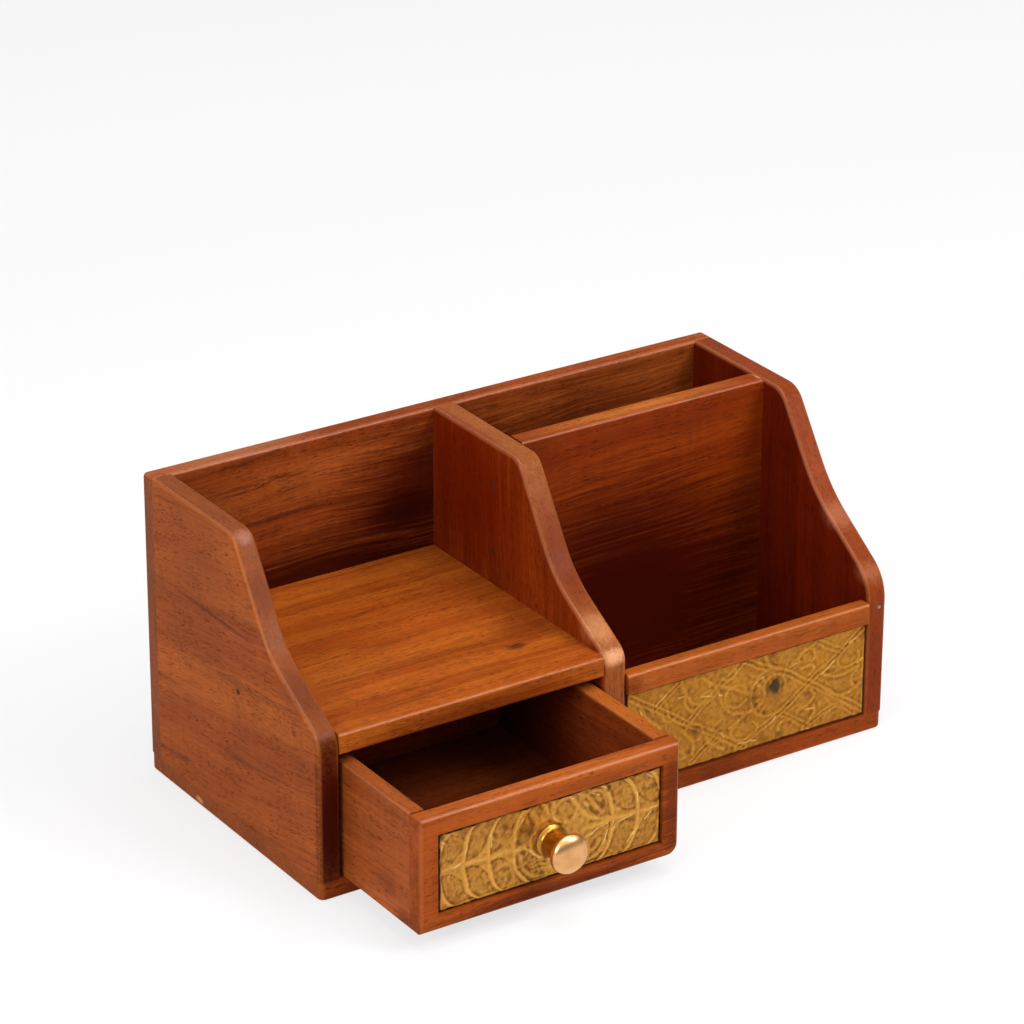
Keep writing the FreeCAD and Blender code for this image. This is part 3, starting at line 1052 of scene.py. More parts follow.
@dataclass(frozen=True)
class BrassSheet:
    """A thin sheet standing upright, with its relief towards the front.

    The front is the surface (x, front - relief(x, z), z) over a rectangle of
    x and z. Its rim is joined to a flat back. A strip along the left and the
    top, which the frame hides, is painted dark as the frame's shade.
    """

    name: str
    left: float
    right: float
    foot: float
    top: float
    front: float
    back: float
    hidden_left: float = 0.2
    hidden_top: float = 0.7
    pitch: float = 0.2
    lowest: float = -0.30
    margin: float = 0.8
    crease: float = 62.0

    def grid(self) -> Tuple[np.ndarray, np.ndarray]:
        """The x and z of every point of the front.

        Returns:
            Two arrays of rows from the foot up and columns to the right.
        """
        columns = int(round((self.right - self.left) / self.pitch)) + 1
        rows = int(round((self.top - self.foot) / self.pitch)) + 1
        return np.meshgrid(
            np.linspace(self.left, self.right, columns),
            np.linspace(self.foot, self.top, rows),
        )

    def middle(self) -> Point2:
        """The x and z of the sheet's middle."""
        return (self.left + self.right) / 2, (self.foot + self.top) / 2

    def build(self, emboss: Emboss, highest: float) -> bpy.types.Object:
        """Makes the sheet, whose relief falls to flat along the rim.

        Args:
            emboss: The relief over this sheet's grid.
            highest: Height that the relief never passes.

        Returns:
            The object.
        """
        x, z = self.grid()
        upright = np.minimum(x - self.left, self.right - x)
        rim = np.minimum(upright, np.minimum(z - self.foot, self.top - z))
        relief = np.clip(emboss.height(), self.lowest, highest)
        piece = self._mesh(relief * fade(rim, 0.0, self.margin))
        # Painted frame shade: a dark strip along the rim, wider at left and top.
        gap = np.minimum(rim, x - self.left - self.hidden_left)
        gap = np.minimum(gap, self.top - self.hidden_top - z)
        gap = gap + 0.22 * smooth_noise(x, z, 1.7, emboss.seed + 31)
        # The rim turns darker too, as painted shade of the frame.
        dirt_and_shade = np.maximum(emboss.tarnish_and_shade, 0.7 * fade(rim, 0.7, 0.0))
        for name, values, rest in (
            ("relief", emboss.rubbed(), 0.0),
            ("tarnish_and_shade", dirt_and_shade, 0.0),
            ("patina", emboss.patina, 0.0),
            ("polish_and_glint", emboss.polish_and_glint, 0.0),
            ("gap", fade(gap, 0.50, 0.20), 1.0),
        ):
            behind = np.full(len(piece.data.vertices) - x.size, rest)
            give_attribute(piece, name, np.concatenate((values.ravel(), behind)))
        return piece

    def _mesh(self, relief: np.ndarray) -> bpy.types.Object:
        """Joins the front, the rim and the back.

        Args:
            relief: Height of the front over the flat sheet.

        Returns:
            The object.
        """
        x, z = self.grid()
        front = np.stack((x, self.front - relief, z), -1).reshape(-1, 3)
        number = np.arange(x.size).reshape(x.shape)
        quads = np.stack(
            (number[:-1, :-1], number[:-1, 1:], number[1:, 1:], number[1:, :-1]), -1
        ).reshape(-1, 4)
        loop = np.concatenate(
            (number[0, :-1], number[:-1, -1], number[-1, :0:-1], number[:0:-1, 0])
        )
        behind = front[loop].copy()
        behind[:, 1] = self.back
        ring = len(front) + np.arange(len(loop))
        skirt = np.stack((loop, ring, np.roll(ring, -1), np.roll(loop, -1)), -1)
        hub = np.full_like(ring, len(front) + len(loop))
        fan = np.stack((hub, np.roll(ring, -1), ring), -1)
        across, up = self.middle()
        points = np.concatenate((front, behind, [[across, self.back, up]])) * MM
        faces = quads.tolist() + skirt.tolist() + fan.tolist()
        return fill_mesh(self.name, points, faces, self.crease)


@dataclass
class TurnedKnob:
    """A round knob on an axis that points to the front.

    Its profile gives radius against reach from the sheet it stands on. The
    neck starts to swell at two shares of its length, and a painted shade
    behind the head starts and is full at two distances behind the rim.
    """

    name: str
    x: float
    z: float
    seat: float
    flange: float = 5.2
    flange_thickness: float = 0.9
    flange_round: float = 0.25
    foot_round: float = 0.12
    waist: float = 4.4
    neck: float = 4.6
    neck_start: float = 1.1
    neck_end: float = 8.9
    swell: float = 0.9
    swell_front: float = 0.86
    swell_rear: float = 0.12
    head: float = 6.4
    rim_reach: float = 9.4
    rim_thickness: float = 0.7
    under_reach: float = 9.75
    under_depth: float = 0.6
    dome_power: float = 2.3
    length: float = 13.3
    bore: float = 2.0
    bore_depth: float = 8.5
    shade_start: float = 0.2
    shade_full: float = 1.4
    turns: int = 128

    def profile(self) -> np.ndarray:
        """Reach and radius along the outline, from the tip to the bore.

        The head is a flattened dome, radius = head * (1 - t^power)^(1/2) with
        t running from the rim to the tip, and a quarter of an ellipse rounds
        it under. The neck's radius goes evenly from waist to neck and swells
        by the smooth step at both ends.

        Returns:
            One row of reach and radius for each point.
        """
        shoulder = self.rim_reach + self.rim_thickness
        t = np.sin(np.linspace(math.pi / 2, 0.0, 30))
        rise = self.length - self.rim_reach - self.rim_thickness
        flat = np.maximum(1 - t**self.dome_power, 0.0)
        dome = (shoulder + rise * t, self.head * flat**0.5)
        roll = np.linspace(0.0, math.pi / 2, 8)
        under = (
            self.under_reach - self.under_depth * np.sin(roll),
            self.head - self.swell * (1 - np.cos(roll)),
        )
        s = np.linspace(1.0, 0.0, 22)
        neck = (
            self.neck_start + (self.neck_end - self.neck_start) * s,
            self.waist
            + (self.neck - self.waist) * s
            + self.swell * fade(s, self.swell_front, 1.0)
            + self.swell * fade(s, self.swell_rear, 0.0),
        )
        foot = (
            (self.flange_thickness, self.flange - self.flange_round),
            (self.flange_thickness - self.flange_round, self.flange),
            (self.foot_round, self.flange),
            (0.0, self.flange - self.foot_round),
            (0.0, self.bore),
            (self.bore_depth, self.bore),
            (self.bore_depth, 0.0),
        )
        curves = [np.stack(curve, -1) for curve in (dome, under, neck)]
        return np.concatenate((*curves, np.array(foot)))

    def build(self) -> bpy.types.Object:
        """Makes the knob, whose vertices carry the painted shade behind its head.

        Returns:
            The object.
        """
        profile = self.profile()
        centre = (self.x, self.seat, self.z)
        piece = turned_piece(self.name, centre, profile, self.turns)
        # Painted shade on the neck behind the head.
        start = self.rim_reach - self.shade_start
        full = self.rim_reach - self.shade_full
        hidden = np.repeat(fade(profile[1:-1, 0], start, full), self.turns)
        give_attribute(piece, "tarnish_and_shade", np.concatenate((hidden, (0.0, 1.0))))
        return piece


def dress(node: str, material: bpy.types.Material) -> None:
    """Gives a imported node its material.

    Args:
        node: Name of the node.
        material: The material for all of its slots.
    """
    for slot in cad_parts[node].material_slots:
        slot.material = material
    LOG.info("%s: %s", node, material.name)


def place_new(
    piece: bpy.types.Object,
    body: str,
    node: str,
    material: bpy.types.Material,
) -> None:
    """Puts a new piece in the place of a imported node.

    Args:
        piece: The new piece.
        body: Body that it moves with.
        node: Node that it stands for.
        material: Its material.
    """
    piece.data.materials.append(material)
    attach(piece, body)
    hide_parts(node)
    LOG.info("%s: %d faces, on %s", piece.name, len(piece.data.polygons), body)


@dataclass
class EmbossedBox:
    """Boards with an embossed sheet in front, as the body and the drawer are.

    The lines and spots of the relief are given across and up from a point on
    the sheet's middle line.
    """

    body: str
    sheet: BrassSheet
    plate: str
    highest: float
    ring_height: float
    seed: int
    brass_name: str
    brass: WornBrass
    strokes: ClassVar[Tuple[Line, ...]] = ()
    rings: ClassVar[Tuple[Ring, ...]] = ()
    glints: ClassVar[Tuple[Line, ...]] = ()
    blots: ClassVar[Tuple[Blot, ...]] = ()
    patches: ClassVar[Dict[str, Tuple[Patch, ...]]] = {}

    def woods(self) -> Dict[str, WaxedWood]:
        """The finish of each board by node name, before its patches."""
        raise NotImplementedError

    def pattern(self) -> Emboss:
        """The relief of the sheet."""
        raise NotImplementedError

    def curves(self, emboss: Emboss, height: float, width: float) -> None:
        """Draws the strokes and rings.

        Args:
            emboss: The relief.
            height: Height of the strokes.
            width: Half of the width of every line.
        """
        for line in self.strokes:
            emboss.stroke(line, height, width)
        for centre, radius, squash, span in self.rings:
            emboss.ring(centre, radius, self.ring_height, width, squash, span)

    def glints_and_blots(self, emboss: Emboss, width: float) -> None:
        """Paints glints bright on the crests and tarnishes the blots.

        Args:
            emboss: The relief.
            width: Half of the width of a bright crest.
        """
        for line in self.glints:
            emboss.glint(line, width)
        for centre, radius, depth in self.blots:
            emboss.blot(centre, radius, depth)

    def dress(self) -> None:
        """Gives the boards their wood and puts the embossed sheet on."""
        for node, finish in self.woods().items():
            patched = replace(finish, patches=self.patches.get(node, ()))
            dress(node, patched.material("wood_" + node))
        place_new(
            self.sheet.build(self.pattern(), self.highest), self.body, self.plate,
            self.brass.material(self.brass_name),
        )


@dataclass
class Carcass(EmbossedBox):
    """The fixed box: boards, front rail and the embossed front."""

    body: str = "carcass"
    sheet: BrassSheet = BrassSheet(
        "panel_emboss", left=5.3, right=98.2, foot=7.0, top=39.6,
        front=-51.6, back=-51.2,
    )
    plate: str = "front_brass_plate"
    highest: float = 0.85
    ring_height: float = 0.24
    seed: int = 1100
    boss: Point2 = (9.4, 1.4)
    boss_petals: int = 15
    bead: float = 46.0
    brass_name: str = "brass_panel"
    brass: WornBrass = WornBrass(
        ground=tint(130, 77, 17),
        raised=tint(194, 132, 44),
        crease=tint(84, 44, 9),
        stain_and_shade=tint(76, 38, 12),
    )
    wide_pairs: ClassVar[Tuple[Line, ...]] = (
        ((-45.6, 14.6), (-34.0, 7.2), (-23.5, -0.5), (-12.0, -7.7), (-1.0, -15.4)),
        ((-1.8, 15.3), (14.4, 7.3), (24.4, 0.5), (46.2, -14.4)),
        ((-23.5, -0.4), (-9.2, 10.1), (-1.6, 15.2)),
        (
            (-3.5, -14.6), (2.4, -12.0), (12.3, -7.0), (24.4, 0.5), (33.7, 6.6),
            (46.0, 15.4),
        ),
    )
    narrow_pairs: ClassVar[Tuple[Line, ...]] = (
        ((-36.0, 7.6), (-26.0, 14.8)), ((-21.5, -14.9), (-12.0, -8.2)),
        ((22.6, -14.6), (33.0, -10.0), (37.6, -10.2), (42.4, -14.6)),
        ((14.0, -7.6), (24.6, -14.6)), ((27.0, 14.8), (37.6, 8.8)),
    )
    strokes: ClassVar[Tuple[Line, ...]] = (
        ((-17.8, 13.9), (-13.4, 10.2), (-7.0, 7.6), (1.6, 3.2)),
        ((-25.4, 14.0), (-23.6, 9.0), (-20.6, 5.6), (-15.6, 5.0)),
        ((-12.2, 9.2), (-10.0, 2.2), (-7.2, -1.4), (-1.4, -3.0), (3.2, -3.2)),
        ((-25.0, -2.8), (-22.6, -6.4), (-20.4, -8.2), (-20.8, -12.0)),
        ((-6.4, -6.8), (-1.0, -4.0), (2.4, -2.2)),
        ((6.6, 15.0), (8.4, 10.6), (13.0, 8.4)),
        ((17.6, 9.0), (20.8, 12.2), (25.6, 14.2)),
        ((21.2, 6.8), (25.6, 7.0), (26.9, 4.8), (24.6, 3.4)),
        ((25.6, -2.4), (27.0, -4.9), (24.4, -7.2), (19.6, -8.0)),
        ((26.4, -8.2), (26.8, -10.6), (24.0, -13.0)),
        ((-40.6, 9.6), (-38.0, 4.4), (-33.8, 1.2), (-33.4, -2.6), (-28.0, -4.4)),
        ((-33.0, 12.0), (-31.0, 7.6), (-30.6, 3.6)),
        ((-16.6, -6.0), (-13.8, -10.8), (-8.6, -13.6)),
        ((30.0, -2.6), (33.8, -6.2), (39.8, -7.4), (44.8, -5.0)),
        ((29.6, 2.6), (35.0, 0.0), (44.0, 1.4)),
    )
    rings: ClassVar[Tuple[Ring, ...]] = (
        ((9.4, 1.8), 8.2, 1.0, (62.0, 306.0)), ((10.8, 3.2), 4.3, 1.0, (-20.0, 200.0)),
        ((-4.6, 3.8), 4.3, 0.9, (20.0, 330.0)),
        ((-0.8, -9.4), 5.2, 0.62, (150.0, 30.0)),
        ((23.2, 10.4), 3.4, 0.8, (-40.0, 200.0)),
        ((40.0, 5.6), 4.2, 0.7, (150.0, 380.0)),
        ((36.4, -16.2), 6.4, 0.9, (30.0, 150.0)),
        ((-20.6, 7.6), 3.6, 1.1, (150.0, 320.0)),
        ((-20.8, -4.6), 3.7, 0.9, (-70.0, 170.0)),
        ((-29.6, 4.6), 3.0, 0.9, (160.0, 350.0)),
        ((15.4, -12.4), 3.0, 0.8, (10.0, 190.0)),
        ((-7.4, 12.6), 2.6, 0.8, (200.0, 380.0)),
        ((44.6, -3.0), 3.4, 1.0, (110.0, 250.0)),
        ((-11.4, -12.4), 2.8, 0.7, (20.0, 180.0)),
    )
    leaves: ClassVar[Tuple[Leaf, ...]] = (
        ((-21.4, 3.4), (-13.4, 8.6), 1.6), ((14.4, -10.6), (21.4, -6.4), 1.5),
        ((28.6, 3.6), (36.2, 2.8), 1.4), ((30.8, -4.2), (38.6, -12.2), 1.5),
        ((-8.8, -3.6), (-13.4, -6.2), 1.3), ((-31.4, -8.0), (-23.6, -12.2), 1.5),
    )
    glints: ClassVar[Tuple[Line, ...]] = (
        ((2.6, 6.2), (4.4, 7.0), (6.0, 7.8)), ((-35.2, 8.8), (-31.4, 11.6)),
        ((29.4, 2.4), (34.2, 6.4)), ((39.6, 10.6), (42.4, 11.8)),
        ((43.4, 2.8), (45.4, 4.4)), ((-18.0, 7.4), (-13.6, 6.4)),
        ((-11.2, 6.4), (-9.8, 5.8)), ((9.2, -9.6), (11.4, -7.4)),
        ((-10.6, -7.6), (-9.0, -9.4)), ((-3.4, -13.6), (3.4, -14.2)),
        ((23.0, -8.4), (26.6, -9.0)), ((-41.0, 8.8), (-40.0, 6.8)),
        ((16.8, 8.0), (19.6, 9.2)), ((-26.2, 9.6), (-24.4, 9.4)),
    )
    blots: ClassVar[Tuple[Blot, ...]] = (
        ((1.8, 1.2), 3.6, 0.50), ((-20.2, -4.4), 2.4, 0.5), ((24.2, -3.2), 1.6, 0.5),
        ((10.0, 14.6), 1.8, 0.5), ((13.0, -14.6), 2.4, 0.45),
        ((-22.4, -10.4), 1.6, 0.4), ((6.4, -15.0), 3.0, 0.4),
        ((-10.4, 12.4), 1.4, 0.35),
    )
    patches: ClassVar[Dict[str, Tuple[Patch, ...]]] = {
        "left_side": (
            # Darker front edge below the lip: painted shade of the drawer, on darker
            # wood.
            Patch((-102.0, -52.0, 28.0), (9.0, 3.5, 46.0), (60, 4, 0), 0.95),
            Patch((-106.0, 10.0, 71.0), (4.0, 32.0, 0.9), (70, 26, 10), 0.7),
            Patch((-106.0, -4.9, 51.0), (2.0, 1.2, 0.9), (50, 20, 10), 0.8),
            Patch((-106.0, -30.0, 24.0), (4.0, 16.0, 20.0), (112, 46, 18), 0.2),
            Patch((-106.0, 26.0, 84.0), (4.0, 36.0, 36.0), (118, 52, 20), 0.35, 0.3),
            Patch((-102.0, -36.0, 62.0), (7.0, 12.0, 14.0), (88, 34, 16), 0.5),
            Patch((-102.0, -15.0, 88.0), (5.0, 11.0, 11.0), (102, 40, 10), 0.6, 0.3),
            # Paler crest: painted highlight.
            Patch((-102.0, -4.0, 101.8), (4.0, 4.4, 3.6), (178, 124, 104), 0.45, 0.3),
        ),
        "divider": (
            # Painted shade on the divider's face inside the tray.
            Patch((-3.6, 26.0, 84.0), (4.0, 40.0, 40.0), (104, 22, 0), 0.85),
            Patch((-3.6, 11.0, 88.9), (2.0, 1.2, 1.2), (40, 12, 4), 0.8),
            Patch((0.7, -52.0, 12.0), (8.0, 4.0, 18.0), (104, 40, 16), 0.6),
            Patch((1.0, -25.0, 78.0), (10.0, 25.0, 32.0), (108, 38, 7), 0.85),
            # Paler lower slope: painted highlight.
            Patch((0.7, -43.0, 60.0), (7.0, 9.0, 8.0), (190, 126, 82), 0.7, 0.5),
            # Paler lip: wear and a painted highlight.
            Patch((0.7, -50.4, 53.2), (7.0, 5.0, 3.6), (228, 164, 118), 0.8, 0.6),
        ),
        "right_side": (
            Patch((102.0, -52.0, 24.0), (9.0, 3.5, 24.0), (108, 40, 16), 0.6),
            # Paler slope: painted highlight.
            Patch((102.0, -31.0, 69.0), (7.0, 8.0, 7.0), (176, 112, 80), 0.45, 0.6),
            # Paler lip: painted highlight.
            Patch((102.0, -48.0, 55.0), (7.0, 6.0, 5.0), (170, 100, 62), 0.45, 0.6),
        ),
        "base_board": (
            Patch((-106.0, 21.0, 2.2), (2.0, 3.0, 1.6), (205, 140, 92), 0.8),
            Patch((40.0, -52.0, 3.0), (14.0, 2.0, 5.0), (88, 30, 8), 0.5),
        ),
        "back_board": (
            # Painted shade on the back inside the tray.
            Patch((-6.0, 45.6, 76.0), (48.0, 4.0, 34.0), (66, 4, 0), 0.85),
            Patch((-16.0, 45.6, 70.0), (18.0, 3.0, 9.0), (48, 10, 2), 0.7, 1.4),
            # Painted shade low on the back, over the shelf.
            Patch((-50.0, 45.6, 54.0), (76.0, 3.0, 18.0), (52, 4, 0), 0.92),
            # Painted shade on the back inside the pen slot.
            Patch((52.0, 45.6, 70.0), (60.0, 3.0, 40.0), (70, 16, 2), 0.7),
            # Paler top edge: painted highlight.
            Patch((-76.0, 49.0, 103.4), (40.0, 7.0, 2.0), (168, 104, 72), 0.6, 0.6),
        ),
        "tray_shelf": (
            Patch((-12.0, -20.0, 54.7), (14.0, 14.0, 4.0), (110, 42, 10), 0.6),
            Patch((-22.0, -31.0, 54.7), (5.0, 3.0, 3.0), (70, 24, 6), 0.7),
            Patch((-50.0, -52.0, 50.0), (52.0, 1.6, 3.4), (112, 38, 6), 0.7),
        ),
        "pen_partition": (
            # Painted shade on the partition's face, darkest low down.
            Patch((48.0, 6.8, 36.0), (72.0, 4.0, 64.0), (60, 5, 0), 0.92),
            # Paler top edge: painted light over the shaded tone.
            Patch((50.0, 10.5, 104.0), (64.0, 6.0, 2.2), (190, 110, 44), 0.85),
            Patch((98.2, 10.2, 103.0), (1.2, 2.6, 1.5), (206, 140, 84), 0.8),
        ),
        "front_rail": (
            Patch((6.0, -53.0, 42.0), (7.0, 3.0, 4.0), (104, 40, 14), 0.6),
        ),
    }

    def woods(self) -> Dict[str, WaxedWood]:
        """The finish of each board, before its patches.

        Returns:
            Finishes by node name.
        """
        edge = (200, 120, 60)
        side = ((74, 24, 5), (138, 62, 18), (164, 83, 26), edge)
        # Painted shade on the inner faces of both sides, as a factor on their colour.
        shaded = (0.40, 0.13, 0.06)
        return {
            "left_side": WaxedWood(
                *side, Grain.ALONG_Y, tilt=8.0, seed=1.3, streaks=0.5,
                flank=Flank.NARROW, flank_tone=(132, 66, 27), gloss=0.09,
                inward=(1.0, 0.0, 0.0), inward_shade=shaded,
            ),
            # Darker wood, its tone partly painted shade of the tray.
            "divider": WaxedWood(
                (70, 13, 1), (126, 42, 6), (146, 58, 11), edge,
                Grain.ALONG_Z, tilt=1.0, seed=2.1,
                flank=Flank.NARROW, flank_tone=(148, 80, 36), gloss=0.05,
            ),
            "right_side": WaxedWood(
                *side, Grain.ALONG_Z, tilt=2.0, seed=3.7,
                flank=Flank.NARROW, flank_tone=(132, 56, 20), gloss=0.04,
                inward=(-1.0, 0.0, 0.0), inward_shade=shaded,
            ),
            "base_board": WaxedWood(
                (78, 26, 4), (130, 54, 12), (152, 70, 18), edge, seed=4.9,
                flank=Flank.ENDS, flank_tone=(138, 68, 24),
            ),
            "back_board": WaxedWood(
                (58, 12, 2), (138, 60, 19), (164, 82, 32), edge, tilt=1.0, seed=5.3,
                streaks=0.6, flank=Flank.ENDS, flank_tone=(130, 68, 36),
            ),
            "tray_shelf": WaxedWood(
                (84, 28, 4), (150, 66, 15), (178, 92, 27), edge, seed=6.1, streaks=0.5
            ),
            # Dark tone, partly painted shade of the pen slot.
            "pen_partition": WaxedWood(
                (80, 20, 2), (120, 40, 4), (140, 56, 8), edge, tilt=1.0, seed=7.7
            ),
            "front_rail": WaxedWood(
                (98, 36, 8), (146, 66, 18), (170, 88, 30), edge, seed=8.2
            ),
            "front_panel": WaxedWood(
                (66, 18, 3), (110, 40, 9), (130, 56, 16), edge, seed=9.4
            ),
        }

    def pattern(self) -> Emboss:
        """The lattice of the fixed front.

        Pairs of lines cross in large diamonds, with petals, a ring and a
        dark boss between them.

        Returns:
            The relief.
        """
        x, z = self.sheet.grid()
        across, up = self.sheet.middle()
        emboss = Emboss(x - across, z - up, self.seed)
        for line in self.wide_pairs:
            emboss.double(line, gap=1.6, height=0.22)
        for line in self.narrow_pairs:
            emboss.double(line, gap=1.4, height=0.20)
        self.curves(emboss, height=0.22, width=0.60)
        for foot, tip, half in self.leaves:
            outline = emboss.to_leaf(foot, tip, half)
            emboss.raise_line(outline, width=0.5, height=0.20)
        self._boss(emboss)
        emboss.crumple(0.13)
        emboss.blot((10.4, 2.6), radius=6.6, depth=0.40)
        emboss.blot((10.8, 3.2), radius=3.9, depth=0.95, green=True)
        self.glints_and_blots(emboss, width=0.20)
        return emboss

    def _boss(self, emboss: Emboss) -> None:
        """Draws the boss, and a bead up the sheet's right end.

        The boss is domed. On its left half petals fan out round it, and
        their height is the cosine of their number times the angle round it.

        Args:
            emboss: The relief.
        """
        u, v = emboss.u - self.boss[0], emboss.v - self.boss[1]
        around, reach = np.arctan2(v, u), np.hypot(u, v)
        fan = fade(reach, 3.8, 5.0) * fade(reach, 8.0, 6.8) * fade(emboss.u, 10.5, 5.5)
        emboss.swell += 0.16 * np.cos(self.boss_petals * around) * fan
        emboss.swell += 0.30 * bell(emboss.u - self.bead, 0.45)
        emboss.swell += 0.25 * fade(reach, 3.6, 1.0)


@dataclass
class Drawer(EmbossedBox):
    """The drawer: its box, the embossed front and the knob."""

    body: str = "drawer"
    sheet: BrassSheet = BrassSheet(
        "drawer_emboss", left=-90.9, right=-11.2, foot=11.9, top=38.1,
        front=-93.5, back=-93.1, hidden_left=0.8, hidden_top=0.6,
    )
    plate: str = "drawer_brass_plate"
    highest: float = 0.95
    ring_height: float = 0.30
    seed: int = 2900
    brass_name: str = "brass_drawer"
    brass: WornBrass = WornBrass(
        ground=tint(156, 100, 36),
        raised=tint(208, 150, 64),
        crease=tint(94, 54, 15),
        stain_and_shade=tint(78, 42, 15),
    )
    knob_x: float = -51.05
    knob_z: float = 24.4
    rib_gap: float = 8.8
    stems: ClassVar[Tuple[Line, ...]] = (
        ((-39.6, 1.0), (-28.0, 0.2), (-19.0, 0.0), (-9.0, -0.2)),
        ((12.6, -0.5), (24.0, -0.2), (39.6, -0.6)),
    )
    ribs: ClassVar[Dict[float, Tuple[float, ...]]] = {
        1.0: (-39.6, -30.6, -21.8, -12.9),
        -1.0: (40.4, 31.6, 22.6),
    }
    strokes: ClassVar[Tuple[Line, ...]] = (
        ((6.2, 12.6), (10.4, 7.2), (13.6, 2.8), (21.4, 0.8)),
        ((-11.8, -0.8), (-9.6, -3.6), (-9.8, -8.0), (-6.4, -11.4), (-1.0, -12.2)),
        ((-7.6, 12.4), (-10.6, 8.0), (-12.0, 3.4)),
        ((-2.2, 12.2), (-1.0, 8.2), (3.6, 4.2), (6.4, 3.4)),
        ((1.0, 12.6), (0.6, 8.6), (2.4, 5.2)), ((10.6, 12.4), (14.4, 9.0), (16.4, 5.6)),
        ((12.4, 8.2), (15.6, 6.8), (19.0, 3.0)),
        ((-6.2, 9.4), (-4.4, 6.0), (-5.6, 3.2)),
    )
    rings: ClassVar[Tuple[Ring, ...]] = (
        ((5.4, 7.6), 4.2, 1.0, (-60.0, 200.0)), ((15.8, 6.8), 4.6, 1.0, (-70.0, 120.0)),
        ((-4.2, -7.0), 4.1, 0.9, (0.0, 360.0)),
        ((-10.2, -3.4), 2.7, 1.1, (30.0, 300.0)),
        ((-0.2, 0.4), 6.6, 1.0, (40.0, 250.0)), ((-8.2, 6.6), 3.7, 1.3, (-30.0, 200.0)),
        ((9.8, -8.6), 4.6, 1.0, (-20.0, 150.0)),
        ((14.4, -5.8), 6.0, 0.9, (200.0, 350.0)),
        ((14.4, -5.2), 3.8, 0.9, (190.0, 350.0)),
        ((-16.4, -8.4), 3.6, 1.2, (-60.0, 120.0)),
    )
    glints: ClassVar[Tuple[Line, ...]] = (
        ((13.1, -3.7), (16.6, -2.2), (20.7, -1.1)), ((24.8, -1.8), (29.2, -0.8)),
        ((17.8, -9.6), (20.2, -6.2), (20.8, -3.6)), ((28.2, -9.4), (30.4, -6.4)),
        ((34.2, -3.6), (37.0, -1.4)), ((-7.6, -1.6), (-5.0, -4.8), (-2.8, -6.2)),
        ((0.2, 9.4), (1.2, 6.6), (2.6, 5.0)), ((-13.0, -0.4), (-10.8, 0.4)),
        ((-30.0, 2.2), (-29.6, 5.8)), ((-11.8, 6.4), (-9.6, 9.2)),
        ((14.6, 10.8), (17.4, 9.4)), ((23.0, -3.2), (23.8, -2.0)),
        ((-34.0, 0.2), (-31.4, 0.8)), ((34.8, 11.8), (37.2, 9.6)),
        ((-20.6, 2.8), (-20.2, 6.0)), ((31.0, 6.6), (31.2, 3.4)),
        ((-38.2, 9.8), (-36.8, 9.0)),
    )
    blots: ClassVar[Tuple[Blot, ...]] = (
        ((-38.4, 11.6), 1.8, 0.75), ((-36.8, 9.8), 1.2, 0.6), ((-15.8, 8.4), 2.0, 0.65),
        ((-22.0, 10.8), 2.0, 0.45), ((-30.6, 11.2), 2.6, 0.35),
        ((-7.8, 4.6), 3.6, 0.55), ((20.6, 11.0), 1.8, 0.75), ((19.4, 5.4), 1.7, 0.60),
        ((23.4, -2.2), 0.9, 0.7), ((37.2, 6.8), 1.9, 0.55), ((38.6, -8.6), 1.6, 0.45),
        ((34.6, 11.6), 1.6, 0.4), ((-2.6, -12.8), 2.2, 0.45), ((5.0, -13.0), 2.4, 0.5),
        ((-33.6, -12.2), 2.2, 0.35),
    )
    patches: ClassVar[Dict[str, Tuple[Patch, ...]]] = {
        "drawer_front": (
            Patch((-59.1, -94.7, 41.7), (5.6, 5.0, 4.6), (92, 28, 8), 0.8, 0.4),
            Patch((-59.1, -94.7, 41.7), (3.6, 4.0, 2.6), (122, 50, 16), 0.6, 0.4),
            # Painted shade along the bottom of the front.
            Patch((-51.0, -94.7, 6.4), (60.0, 4.0, 6.0), (82, 26, 5), 0.75),
            Patch((-7.0, -94.7, 26.0), (6.0, 4.0, 26.0), (82, 26, 6), 0.65, 1.6),
            # Paler top of the front face: painted highlight.
            Patch((-46.0, -94.9, 42.5), (64.0, 3.0, 5.5), (184, 94, 32), 0.55, 1.2),
            Patch((-36.0, -94.9, 40.6), (26.0, 2.4, 2.6), (92, 28, 5), 0.3, 1.4),
            # Paler top face: painted light from above.
            Patch((-52.0, -91.4, 46.4), (92.0, 7.0, 3.2), (196, 104, 44), 0.85),
            Patch((-95.0, -94.7, 27.0), (4.0, 3.0, 22.0), (160, 74, 24), 0.6),
            # Painted shade in the recess round the sheet.
            Patch((knob_x, -92.4, 25.0), (60.0, 1.9, 24.0), (50, 12, 3), 0.9, 0.3),
        ),
        "drawer_left_wall": (
            # Painted shade on the wall inside the body; it moves with the drawer.
            Patch((-97.3, 6.0, 24.0), (9.0, 84.0, 90.0), (62, 12, 1), 0.9, 0.3),
            Patch((-97.3, -75.0, 16.0), (3.0, 9.0, 6.5), (112, 48, 18), 0.5, 0.6),
            Patch((-97.3, -86.0, 8.0), (3.0, 8.0, 5.0), (84, 32, 12), 0.6),
        ),
        "drawer_right_wall": (
            # Painted shade on the wall inside the body; it moves with the drawer.
            Patch((-10.3, 6.0, 22.0), (9.0, 84.0, 90.0), (60, 12, 1), 0.85, 0.3),
            # Paler top edge: painted highlight.
            Patch((-7.5, -64.0, 45.2), (7.0, 60.0, 2.4), (182, 98, 34), 0.7),
        ),
    }

